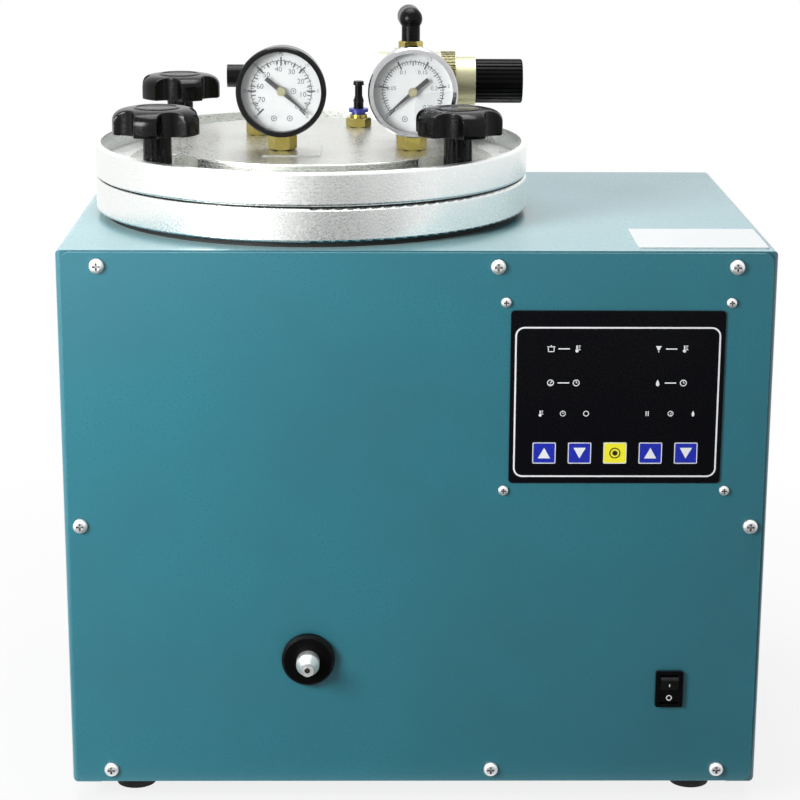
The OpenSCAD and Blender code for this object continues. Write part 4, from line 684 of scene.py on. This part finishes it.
class INJECTOR_OT_nozzle(MakerOperator):
    """Nozzle, its bush and its wound return spring"""
    bl_idname = "injector.nozzle"
    bl_label = "Nozzle"

    def make(self):
        colours = settings("colours")
        axis_at = front_middle("nozzle_body")
        centre = (axis_at.x, 0, axis_at.z)
        # painted shade darkens the nozzle's grooves and corners and paints its mouth near black
        dress(finish("nozzle_steel", (0.97, 0.97, 0.96), 0.42, metal=1, grain=0.0004, relief=0.00012, tone=0.1,
                     turned=(centre, (0, 1, 0), 0.0008, 2.5), worn=(250, 250, 250), worn_width=0.0004, painted_shade=0.8,
                     mask=self.mouth), "nozzle_body", "nozzle_tip")
        dress(finish("bush_plastic", colours.black, 0.42, shine=0.08, grain=0.0007, relief=0.000015,
                     turned=(centre, (0, 1, 0), 0.001, 0.6), worn=(110, 120, 124), worn_width=0.0003),
              "nozzle_bush")
        dress(finish("trip_plastic", (0.1, 0.1, 0.1), 0.45, worn=(60, 60, 60)), "trip_switch")
        steel = finish("spring_wire", (0.6, 0.6, 0.62), 0.3, metal=1, grain=0.0004, tone=0.25, worn=(225, 225, 228))
        low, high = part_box("nozzle_spring")
        turns, wire = 6.0, 0.0006
        mesh = grow("return_spring", spring_tree, {
            "Turns": turns, "Radius": (high.x - low.x) / 2 - wire, "Height": high.y - low.y - 2 * wire,
            "Wire": wire, "Start": front_middle("nozzle_spring", wire), "Material": steel})
        spring = piece("return_spring", mesh, steel, "cabinet", 40, ["nozzle_spring"])
        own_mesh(spring)

    @staticmethod
    def mouth(tree, look):
        """Painted shade: a small ball round the mouth is painted near black for the shade in the hole."""
        reach, mouth_shade_colour = 0.0015, (0.03, 0.028, 0.024, 1)
        return blend_colour(tree, inside_ball(tree, front_middle("nozzle_tip"), reach), look, mouth_shade_colour)


class INJECTOR_OT_controls(MakerOperator):
    """Overlay with its print, keys with their marks, and what is behind them"""
    bl_idname = "injector.controls"
    bl_label = "Controls"

    def make(self):
        colours, sizes, lift = settings("colours"), settings("print"), settings("dials").lift
        white = ink("print_white", colours.print_white)
        black = ink("print_black", colours.print_black)
        dress(finish("overlay_film", colours.overlay, 0.22, shine=0.2, grain=0.0005, relief=0.000006,
                     tone=0.3, worn=(40, 42, 50), worn_width=0.0004), "control_overlay")
        dress(finish("board_mask", (0.09, 0.3, 0.16), 0.35, grain=0.002, relief=0.00004, cloud=0.01, tone=0.3,
                     worn=(150, 160, 120), mask=self.board_parts), "control_board")
        low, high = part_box("control_overlay")
        wide, tall = high.x - low.x, high.z - low.z
        line_wide, line_tall = wide - 2 * sizes.inset, tall - sizes.head - sizes.foot
        shift = (sizes.foot - sizes.head) / 2
        outer = rounded_outline(line_wide, line_tall, sizes.corner)
        inner = rounded_outline(line_wide - 2 * sizes.line, line_tall - 2 * sizes.line, sizes.corner - sizes.line)
        shapes = [[(x, z + shift) for x, z in p] for p in band(outer, inner)]
        upper, lower, left, right = 0.0268, 0.0082, -0.0285, 0.0285
        displays = ((upper, left, ("pot", "heat")), (upper, right, ("cone", "heat")),
                    (lower, left, ("gauge", "clock")), (lower, right, ("drop", "clock")))
        for up, across, signs in displays:
            for number, sign in enumerate(signs):
                shapes += self.sign(sign, sizes.sign, across + (number - 0.5) * 3.6 * sizes.sign, up)
            reach = sizes.sign * 0.8
            shapes.append(bar(across - reach, up, across + reach, up, sizes.sign * 0.16))
        lamps_up, lamps = -0.0087, zip((-0.0405, -0.0284, -0.0160, 0.0166, 0.0291, 0.0411),
                                       ("heat", "clock", "ring", "bars", "gauge", "drop"))
        for across, sign in lamps:
            shapes += self.sign(sign, sizes.sign * 0.85, across, lamps_up)
        place = Matrix.Translation(front_middle("control_overlay", -lift))
        piece("overlay_print", flat_mesh("overlay_print", shapes, place), white, "cabinet")
        blue = finish("key_blue", colours.key, 0.3, coat=0.3, grain=0.0005, relief=0.000012, tone=0.1,
                      worn=(70, 84, 190), worn_width=0.0004)
        yellow = finish("key_yellow", colours.middle_key, 0.32, coat=0.3, grain=0.0005, relief=0.000012, tone=0.06,
                        worn=(250, 238, 120), worn_width=0.0004)
        for number, turn in enumerate((1, -1, 0, 1, -1), 1):
            node = f"key_{number}"
            dress(blue if turn else yellow, node)
            low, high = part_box(node)
            wide, tall, rim = high.x - low.x, high.z - low.z, sizes.rim
            shapes = band(rounded_outline(wide, tall, 0.0008),
                          rounded_outline(wide - 2 * rim, tall - 2 * rim, 0.0005))
            if turn:
                a = sizes.arrow / 2
                shapes.append([(-a, -turn * a * 0.9), (0, turn * a * 0.9), (a, -turn * a * 0.9)][::turn])
            place = Matrix.Translation(front_middle(node, -lift))
            piece(node + "_print", flat_mesh(node + "_print", shapes, place), white, node)
            if not turn:
                ring_and_dot = band(circle(0.0030, 32), circle(0.0024, 32)) + [circle(0.0014, 24)]
                piece(node + "_mark", flat_mesh(node + "_mark", ring_and_dot, place), black, node)

    @staticmethod
    def board_parts(tree, look):
        """Dark display modules and switches stand in front of the green board."""
        board, module_black = 0.0021, (0.012, 0.012, 0.014, 1)
        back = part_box("control_board")[1].y
        return blend_colour(tree, beyond(tree, "Y", back - board, False), look, module_black)

    @staticmethod
    def sign(kind, tall, x, z):
        """A small plain sign, this tall, with its middle at x and z."""
        ring = band(circle(0.48, 24), circle(0.36, 24))
        signs = {
            "heat": [bar(0, -0.1, 0, 0.5, 0.2), circle(0.24, 16, 0, -0.28), bar(0.2, 0.42, 0.5, 0.42, 0.12),
                     bar(0.2, 0.16, 0.42, 0.16, 0.12), bar(0.2, -0.1, 0.5, -0.1, 0.12)],
            "clock": ring + [bar(0, 0, 0, 0.27, 0.1), bar(0, 0, 0.2, 0, 0.1)],
            "gauge": ring + [bar(-0.05, -0.05, 0.22, 0.22, 0.12), bar(-0.2, -0.24, 0.2, -0.24, 0.1)],
            "ring": ring,
            "bars": [bar(-0.18, -0.42, -0.18, 0.42, 0.16), bar(0.18, -0.42, 0.18, 0.42, 0.16)],
            "pot": [bar(-0.4, -0.4, 0.4, -0.4, 0.12), bar(-0.4, -0.4, -0.4, 0.28, 0.12),
                    bar(0.4, -0.4, 0.4, 0.28, 0.12), bar(-0.56, 0.28, 0.56, 0.28, 0.12),
                    bar(0, 0.28, 0, 0.5, 0.16)],
            "cone": [[(-0.4, 0.42), (-0.1, -0.2), (0.1, -0.2), (0.4, 0.42)], bar(0, -0.28, 0, -0.5, 0.12)],
            "drop": [[(0.3 * math.sin(a) * math.sin(a / 2), 0.48 - 0.96 * (1 - math.cos(a)) / 2)
                      for a in [2 * math.pi * i / 24 for i in range(24)]]],
        }
        return [[(x + px * tall, z + pz * tall) for px, pz in polygon] for polygon in signs[kind]]


class INJECTOR_OT_switch(MakerOperator):
    """Power switch with its on and off marks"""
    bl_idname = "injector.switch"
    bl_label = "Power switch"

    def make(self):
        colours = settings("colours")
        black = finish("switch_plastic", colours.black, 0.34, grain=0.0006, relief=0.00002, shine=0.14, tone=0.3,
                       worn=(34, 34, 36), worn_width=0.0005)
        dress(black, "switch_frame", "switch_rocker")
        pin = front_middle("switch_frame", 0.004)
        half, dip, crest, lift = 0.0083, 0.0018, -0.0034, 0.00005     # the rocker's face, from its pin
        slope, rest_tilt = math.atan2(dip, half), math.radians(10)
        white = ink("switch_print", colours.print_white)
        marks = []
        for up, out, shapes in ((1, 0.0034, [bar(0, -0.0010, 0, 0.0010, 0.0006)]),
                                (-1, 0.0044, band(circle(0.0016, 28), circle(0.0011, 28)))):
            on_face = Matrix.Translation((0, crest - dip * out / half - lift, up * out)) \
                @ Matrix.Rotation(up * slope, 4, "X")
            marks.append(flat_mesh("mark", shapes, Matrix.Translation(pin)
                                   @ Matrix.Rotation(rest_tilt, 4, "X") @ on_face))
        piece("rocker_print", join_meshes("rocker_print", marks), white, "rocker")


class INJECTOR_OT_knobs(MakerOperator):
    """Star knobs on threaded studs, with their washers"""
    bl_idname = "injector.knobs"
    bl_label = "Star knobs"

    def make(self):
        colours, sizes = settings("colours"), settings("knob")
        black = finish("knob_plastic", colours.black, 0.22, coat=0.05, coat_rough=0.1, grain=0.0012, relief=0.00003,
                       tone=0.35, cloud=0.01, worn=(62, 62, 64), worn_width=0.0006, shine=0.16)
        steel = finish("stud_steel", colours.steel, 0.28, metal=1, grain=0.0005, worn=(240, 240, 240),
                       worn_width=0.0003)
        turns = {"front_left": -11, "front_right": 20, "back_left": 23, "back_right": -6}
        for place, turn in turns.items():
            node, body = "clamp_knob_" + place, "knob_" + place
            foot = top_middle("washer_" + place)
            low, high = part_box(node)
            axis = Vector((foot.x, foot.y, 0))
            mesh = self.head(sizes, axis, foot.z, high.z, math.radians(turn - 90), node)
            piece("star_" + place, mesh, black, body, 42, [node])
            thread = self.thread(sizes, axis, low.z, foot.z + 0.001)
            piece("stud_" + place, thread, steel, body, 50)
            dress(steel, "washer_" + place)

    @staticmethod
    def head(sizes, axis, foot, top, turn, name):
        """A fluted hub that carries a scalloped dome with a raised disc on it."""
        count, tip, lip, soft = 240, 0.024, 0.0005, sizes.soft
        star, crown = top - sizes.head, sizes.head - lip
        angles = [2 * math.pi * i / count for i in range(count)]

        def row(z, radius):
            """A ring of points at height z, where radius tells how far each direction reaches."""
            return [axis + Vector((radius(a) * math.cos(a + turn), radius(a) * math.sin(a + turn), z))
                    for a in angles]

        def softened(a, b):
            """The smaller of two radii, with a soft edge where they meet."""
            too_far = 12 * soft
            if abs(a - b) > too_far:
                return min(a, b)
            return -soft * math.log(math.exp(-a / soft) + math.exp(-b / soft))

        def scallop(a):
            """Distance from the axis to the scallop's wall in this direction."""
            step = 2 * math.pi / sizes.lobes
            off, far = (a % step) - step / 2, sizes.valley + sizes.scallop
            inside = sizes.scallop ** 2 - (far * math.sin(off)) ** 2
            return far * math.cos(off) - math.sqrt(inside) if inside > 0 else 1.0

        def groove(a):
            """Distance from the axis to the fluted hub in this direction."""
            return sizes.hub - max(0.0, math.cos(a * sizes.flutes)) ** 3 * sizes.flute

        rings = [row(foot, lambda a: sizes.hub - 0.0010), row(foot + 0.0006, groove), row(star - 0.0030, groove),
                 row(star - 0.0010, lambda a: sizes.hub + 0.0002), row(star, lambda a: sizes.hub + 0.0008)]
        edge = [(tip - 0.0010, 0.0), (tip - 0.0003, 0.0002), (tip, 0.0008), (tip, 0.0022), (tip, 0.0044)]
        for i in range(20):
            a = math.pi / 2 * i / 20
            edge.append((sizes.disc + (tip - sizes.disc) * math.cos(a) ** (2 / sizes.crown),
                         sizes.skirt + (crown - sizes.skirt) * math.sin(a) ** (2 / sizes.crown)))
        for r, rise in edge:
            rings.append(row(star + rise, lambda a: softened(r, scallop(a))))
        for inward, rise in ((0, 0.0001), (0.0001, 0.0004), (0.0003, lip), (0.0013, lip), (0.0017, 0.0001),
                             (0.0020, 0)):
            rings.append(row(star + (crown + rise), lambda a: sizes.disc - inward))
        return skin(name, rings)

    @staticmethod
    def thread(sizes, axis, low, high):
        """A screw thread from low to high round a vertical axis."""
        around, rows = 32, int((high - low) / sizes.pitch * 8)
        rings = []
        for k in range(rows + 1):
            z = low + (high - low) * k / rows
            ring = []
            for i in range(around):
                wave = (z / sizes.pitch - i / around) % 1.0
                r = sizes.stud - abs(wave - 0.5) * sizes.pitch * 1.1
                ring.append(axis + Vector((r * math.cos(2 * math.pi * i / around),
                                           r * math.sin(2 * math.pi * i / around), z)))
            rings.append(ring)
        return skin("thread", rings)


class INJECTOR_OT_gauges(MakerOperator):
    """Gauge cases, windows, dials with their print, and pointers"""
    bl_idname = "injector.gauges"
    bl_label = "Gauges"

    def make(self):
        colours = settings("colours")
        dress(finish("gauge_enamel", (0.02, 0.02, 0.022), 0.14, coat=0.12, coat_rough=0.05, shine=0.2, grain=0.0016,
                     relief=0.00002, tone=0.25, worn=(70, 70, 74), worn_width=0.0004), "vacuum_gauge_case")
        dress(finish("gauge_chrome", (0.8, 0.8, 0.81), 0.12, metal=1, grain=0.002, relief=0.00001, tone=0.05,
                     spread=0.04, worn=(250, 250, 250), worn_width=0.0003), "pressure_gauge_case")
        dress(finish("dial_card", (0.63, 0.642, 0.642), 0.5, grain=0.0004, relief=0.000006, tone=0.03, cloud=0.02),
              "gauge_dials")
        glass = finish("gauge_glass", (1.0, 1.0, 1.0), 0.02, clear=1.0, ior=1.45, grain=0.004, relief=0.000002,
                       tone=0.0, spread=0.01)
        dress(glass, "gauge_lenses")
        NODES["gauge_lenses"].visible_shadow = False
        black = ink("dial_print", colours.print_black, 0.5, tone=0.1)
        scales = {
            "vacuum": dict(first=-45, way=1, major=7, minor=39, inner_major=16, number_size=0.78,
                           labels=[str(n) for n in range(0, 80, 10)], span=35.5,
                           outer=[str(n) for n in range(0, 31, 5)], outer_span=45,
                           rings=((0.0066, 0.0), (-0.0042, -0.0150), (0.0045, -0.0150))),
            "pressure": dict(first=225, way=-1, major=6, minor=51, inner_major=11, number_size=0.62,
                             labels=["0", "0.05", "0.1", "0.15", "0.2", "0.25"], span=54,
                             outer=["0", "0.5", "1", "1.5", "2", "2.5"], outer_span=54,
                             rings=((-0.0044, -0.0150),))}
        for which, scale in scales.items():
            middle = front_middle(which + "_gauge_case")
            dress(finish(which + "_pointer", (0.03, 0.03, 0.03), 0.35, grain=0.0005, worn=(46, 46, 46),
                         mask=self.hub(middle)), which + "_pointer")
            piece(which + "_dial_print", self.dial(which, middle, scale, black), black, "lid")

    @staticmethod
    def hub(middle):
        """The pointer's hub is bare brass, dulled to olive."""
        def mask(tree, look):
            front = Vector((middle.x, middle.y + 0.0040, middle.z))
            return blend_colour(tree, inside_ball(tree, front, 0.00268), look, (0.17, 0.16, 0.085, 1))
        return mask

    def dial(self, which, middle, scale, black):
        """Strokes, a line, numbers and a small ring, just before the dial."""
        sizes = settings("dials")
        first, sweep, way = math.radians(scale["first"]), sizes.sweep, scale["way"]
        parts = []
        for count, inner, outer, width in (
                (scale["minor"], sizes.inner, sizes.line, 0.00044),
                (scale["inner_major"], sizes.inner - 0.0008, sizes.line, 0.00062),
                (scale["minor"] * 2 // 3, sizes.line, sizes.outer - 0.0010, 0.00036),
                (scale["major"], sizes.inner - 0.0012, sizes.outer, 0.0009)):
            parts.append(grow("marks", scale_marks_tree, {
                "Count": count, "First Angle": first, "Sweep": way * sweep, "Inner Radius": inner,
                "Outer Radius": outer, "Width": width, "Material": black}))
        steps = 120
        arc = [[(r * math.cos(first + way * sweep * i / steps), r * math.sin(first + way * sweep * i / steps))
                for i in range(steps + 1)] for r in (sizes.line + 0.0002, sizes.line - 0.0002)]
        parts.append(flat_mesh("arc", [[arc[0][i], arc[1][i], arc[1][i + 1], arc[0][i + 1]][::way]
                                       for i in range(steps)]))
        for labels, span, size, away in (("labels", "span", scale["number_size"], 0.0119),
                                         ("outer", "outer_span", 0.5, 0.0200)):
            for number, label in enumerate(scale[labels]):
                a = first + way * math.radians(scale[span]) * number
                parts.append(words(label, sizes.number * size, away * math.cos(a), away * math.sin(a)))
        for x, z in scale["rings"]:
            parts.append(flat_mesh("ring", band(circle(0.0016, 28, x, z), circle(0.0012, 28, x, z))
                                   + [circle(0.0005, 12, x, z)]))
        mesh = join_meshes(which + "_dial_print", parts)
        mesh.transform(Matrix.Translation((middle.x, middle.y + sizes.depth - sizes.lift, middle.z)))
        return mesh


class INJECTOR_OT_fittings(MakerOperator):
    """Regulator, brass nuts, elbows and the push-in fitting"""
    bl_idname = "injector.fittings"
    bl_label = "Air fittings"

    def make(self):
        colours = settings("colours")
        low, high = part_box("regulator_bonnet")
        axis_at = (0, (low.y + high.y) / 2, (low.z + high.z) / 2)
        # painted shade darkens the brass in corners and seams
        brass = dict(metal=1, grain=0.0005, relief=0.00002, cloud=0.006, tone=0.18, worn=(248, 236, 176),
                     worn_width=0.0005, painted_shade=0.5)
        dress(finish("brass_nuts", colours.brass, 0.17, **brass), "brass_fittings", "gauge_stems")
        dress(finish("brass_knurl", (0.38, 0.37, 0.28), 0.42, **brass), "lock_nut")
        dress(finish("cast_body", (0.72, 0.71, 0.61), 0.48, metal=1, grain=0.0014, relief=0.00008, cloud=0.01,
                     tone=0.16, worn=(236, 234, 220)), "regulator_body")
        dress(finish("anodised_bonnet", colours.champagne, 0.5, metal=1, grain=0.0005, relief=0.000004, tone=0.06,
                     turned=(axis_at, (1, 0, 0), 0.0006, 0.2), worn=(240, 238, 216), worn_width=0.0004),
              "regulator_bonnet")
        dress(finish("spindle_steel", colours.steel, 0.25, metal=1, worn=(240, 240, 240)), "regulator_spindle")
        dress(finish("regulator_grip", colours.black, 0.36, shine=0.08, grain=0.0009, relief=0.00002,
                     tone=0.3, worn=(26, 26, 28), worn_width=0.0004), "regulator_knob")
        dress(finish("elbow_plastic", (0.02, 0.02, 0.024), 0.3, shine=0.12, grain=0.0008,
                     relief=0.00003, tone=0.3, worn=(64, 64, 70)), "air_elbow", "vacuum_elbow")
        dress(finish("collar_blue", colours.collar, 0.34, grain=0.0006, coat=0.2, tone=0.2, worn=(80, 92, 190)),
              "release_collar")
        dress(finish("plug_plastic", (0.02, 0.02, 0.024), 0.34, shine=0.14, grain=0.0007, tone=0.3,
                     worn=(60, 60, 66)), "barbed_plug")


class INJECTOR_OT_inside(MakerOperator):
    """Transformer, valves, ports and inlet inside and at the back"""
    bl_idname = "injector.inside"
    bl_label = "Inside and back"

    def make(self):
        dress(finish("core_varnish", (0.36, 0.36, 0.39), 0.45, grain=0.0007, relief=0.00004, tone=0.2,
                     turned=((0, 0, 0), (0, 1, 0), 0.0012, 1.5), worn=(130, 130, 134), mask=self.winding),
              "transformer")
        dress(finish("valve_coil", (0.13, 0.13, 0.14), 0.4, grain=0.0008, worn=(90, 90, 94), mask=self.valve_block),
              "solenoid_valves")
        dress(finish("port_plastic", (0.05, 0.05, 0.055), 0.42, grain=0.0008, coat=0.1, worn=(58, 58, 62)),
              "rear_ports")
        dress(finish("inlet_plastic", (0.045, 0.045, 0.048), 0.46, grain=0.0009, relief=0.00003, worn=(56, 56, 58),
                     mask=self.blades), "mains_inlet")

    @staticmethod
    def winding(tree, look):
        """The winding that stands out of the core is copper-brown."""
        low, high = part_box("transformer")
        stand_out, copper = 0.0079, (0.33, 0.12, 0.035, 1)
        out = calc(tree, "MAXIMUM", beyond(tree, "Y", low.y + stand_out, False),
                   beyond(tree, "Y", high.y - stand_out))
        return blend_colour(tree, out, look, copper)

    @staticmethod
    def valve_block(tree, look):
        """Below the coils the valves are pale brass-coloured blocks."""
        block, pale_brass = 0.026, (0.42, 0.38, 0.27, 1)
        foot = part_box("solenoid_valves")[0].z
        return blend_colour(tree, beyond(tree, "Z", foot + block, False), look, pale_brass)

    @staticmethod
    def blades(tree, look):
        """The contact blades in the socket are bright metal-coloured."""
        half_wide, half_tall, start, end, bright = 0.0085, 0.0065, 0.0015, 0.0155, (0.62, 0.6, 0.52, 1)
        middle = front_middle("mains_inlet", (start + end) / 2)
        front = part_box("mains_inlet")[0].y
        away = add(tree, "ShaderNodeSeparateXYZ", {0: vector(tree, "ABSOLUTE", vector(
            tree, "SUBTRACT", own_place(tree), middle)[0])[0]}).outputs
        near = calc(tree, "MULTIPLY", calc(tree, "LESS_THAN", away["X"], half_wide),
                    calc(tree, "LESS_THAN", away["Z"], half_tall))
        for limit in (beyond(tree, "Y", front + start), beyond(tree, "Y", front + end, False)):
            near = calc(tree, "MULTIPLY", near, limit)
        return blend_colour(tree, near, look, bright)


class INJECTOR_OT_stage(MakerOperator):
    """Camera, floor, lamps and room"""
    bl_idname = "injector.stage"
    bl_label = "Stage"

    def make(self):
        sizes = settings("stage")
        self.camera(sizes)
        self.floor(sizes)
        self.card()
        self.lamp("key_lamp", (-0.62, -0.66, 0.52), 0.36, sizes.key)
        self.lamp("top_lamp", (-0.1, 0.2, 1.9), 1.4, sizes.top)
        self.lamp("fill_lamp", (1.6, -0.9, 0.9), 1.0, sizes.fill)
        self.room(sizes.sky)
        bpy.context.scene.view_settings.view_transform = "Standard"

    @staticmethod
    def camera(sizes):
        """The camera at the photograph's place, turned by yaw, pitch and roll."""
        data = bpy.data.cameras.new("camera")
        data.sensor_width, data.lens, data.clip_start = 36.0, sizes.lens, 0.01
        ob = add_object("camera", data)
        yaw, pitch, roll = sizes.yaw, sizes.pitch, sizes.roll
        ahead = Vector((math.sin(yaw) * math.cos(pitch), math.cos(yaw) * math.cos(pitch), -math.sin(pitch)))
        right = Vector((math.cos(yaw), -math.sin(yaw), 0))
        up = right.cross(ahead)
        side = math.cos(roll) * right + math.sin(roll) * up
        rise = -math.sin(roll) * right + math.cos(roll) * up
        turn = Matrix((side, rise, -ahead)).transposed().to_4x4()
        ob.matrix_world = Matrix.Translation(sizes.eye) @ turn
        bpy.context.scene.camera = ob

    @staticmethod
    def stage_mesh(name, points, faces, material):
        """A mesh that is part of the studio and not of the injector."""
        mesh = bpy.data.meshes.new(name)
        mesh.from_pydata(points, [], faces)
        mesh.materials.append(material)
        ob = add_object(name, mesh)
        return ob

    def floor(self, sizes):
        """A wide pale floor: it keeps the object's shadow and turns to plain white further away."""
        material, tree, shader = new_material("floor")
        shader.inputs["Base Color"].default_value = linear(sizes.floor)
        shader.inputs["Roughness"].default_value = 0.6
        shader.inputs["Specular IOR Level"].default_value = 0.1
        near, away, least_white = 0.22, 0.6, 0.84
        far = remap(tree, vector(tree, "LENGTH", own_place(tree))[1], near, away, least_white, 1.0)
        white = add(tree, "ShaderNodeEmission", {"Color": (1, 1, 1, 1), "Strength": 1.0})
        mixed = add(tree, "ShaderNodeMixShader", {0: calc(tree, "MULTIPLY", far, seen_straight(tree)),
                                                  1: shader.outputs[0], 2: white.outputs[0]})
        tree.links.new(mixed.outputs[0], tree.nodes["Material Output"].inputs["Surface"])
        half, level = 6, -0.0003
        self.stage_mesh("floor", [(x * half, y * half, level) for x, y in ((-1, -1), (1, -1), (1, 1), (-1, 1))],
                        [(0, 1, 2, 3)], material)

    def card(self):
        """Dark cards on the floor that only reflections see, as the unlit front of a studio."""
        material, _, shader = new_material("card")
        shader.inputs["Base Color"].default_value = (0.012, 0.014, 0.015, 1)
        z = 0.002
        ob = self.stage_mesh("card", [(-0.42, -0.16, z), (0.7, -0.16, z), (1.3, -1.5, z), (-0.42, -1.5, z),
                                      (-0.12, -1.501, z), (0.85, -1.501, z), (0.95, -2.6, z), (-0.14, -2.6, z)],
                             [(0, 1, 2, 3), (4, 5, 6, 7)], material)
        ob.visible_camera = ob.visible_diffuse = ob.visible_shadow = False

    @staticmethod
    def lamp(name, place, size, power):
        """A square lamp that looks at the injector's middle."""
        data = bpy.data.lights.new(name, "AREA")
        data.shape, data.size, data.energy = "SQUARE", size, power
        ahead = Vector((0, 0, 0.2)) - Vector(place)
        add_object(name, data).matrix_world = Matrix.Translation(place) \
            @ ahead.to_track_quat("-Z", "Y").to_matrix().to_4x4()

    @staticmethod
    def room(strength):
        """White where it is seen, straight or in gloss and glass, and a soft even light elsewhere."""
        world = bpy.data.worlds.new("room")
        bpy.context.scene.world = world
        world.use_nodes = True
        tree = world.node_tree
        level = remap(tree, seen_straight(tree), 0.0, 1.0, strength, 1.0)
        background = tree.nodes["Background"]
        background.inputs["Color"].default_value = (1, 1, 1, 1)
        tree.links.new(level, background.inputs["Strength"])


class INJECTOR_PT_panel(bpy.types.Panel):
    """Lists the injector's operators and settings"""
    bl_idname = "INJECTOR_PT_panel"
    bl_label = "Wax injector"
    bl_space_type = "VIEW_3D"
    bl_region_type = "UI"
    bl_category = "Wax injector"

    def draw(self, context):
        """Draws a button for each operator and a field for each setting."""
        for operator in OPERATORS:
            self.layout.operator(operator.bl_idname)
        for name, group in GROUPS_OF_SETTINGS.items():
            box = self.layout.box()
            for title in group.__annotations__:
                box.prop(settings(name), title)


OPERATORS = (INJECTOR_OT_stage, INJECTOR_OT_case, INJECTOR_OT_pot, INJECTOR_OT_nozzle, INJECTOR_OT_controls,
             INJECTOR_OT_switch, INJECTOR_OT_knobs, INJECTOR_OT_gauges, INJECTOR_OT_fittings, INJECTOR_OT_inside)
GROUPS_OF_SETTINGS = {"colours": InjectorColours, "paint": InjectorPaint, "knob": InjectorKnob,
                      "dials": InjectorDials, "print": InjectorPrint, "stage": InjectorStage}


def register():
    """Adds the settings, the operators and the panel."""
    for group in (*GROUPS_OF_SETTINGS.values(), *OPERATORS, INJECTOR_PT_panel):
        bpy.utils.register_class(group)
    for name, group in GROUPS_OF_SETTINGS.items():
        setattr(bpy.types.Scene, "injector_" + name, PointerProperty(type=group))


def unregister():
    """Takes them away again."""
    for name in GROUPS_OF_SETTINGS:
        delattr(bpy.types.Scene, "injector_" + name)
    for group in reversed((*GROUPS_OF_SETTINGS.values(), *OPERATORS, INJECTOR_PT_panel)):
        bpy.utils.unregister_class(group)


def main():
    """Builds everything."""
    register()
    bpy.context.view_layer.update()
    for operator in OPERATORS:
        group, name = operator.bl_idname.split(".")
        getattr(getattr(bpy.ops, group), name)()


if __name__ == "__main__":
    main()
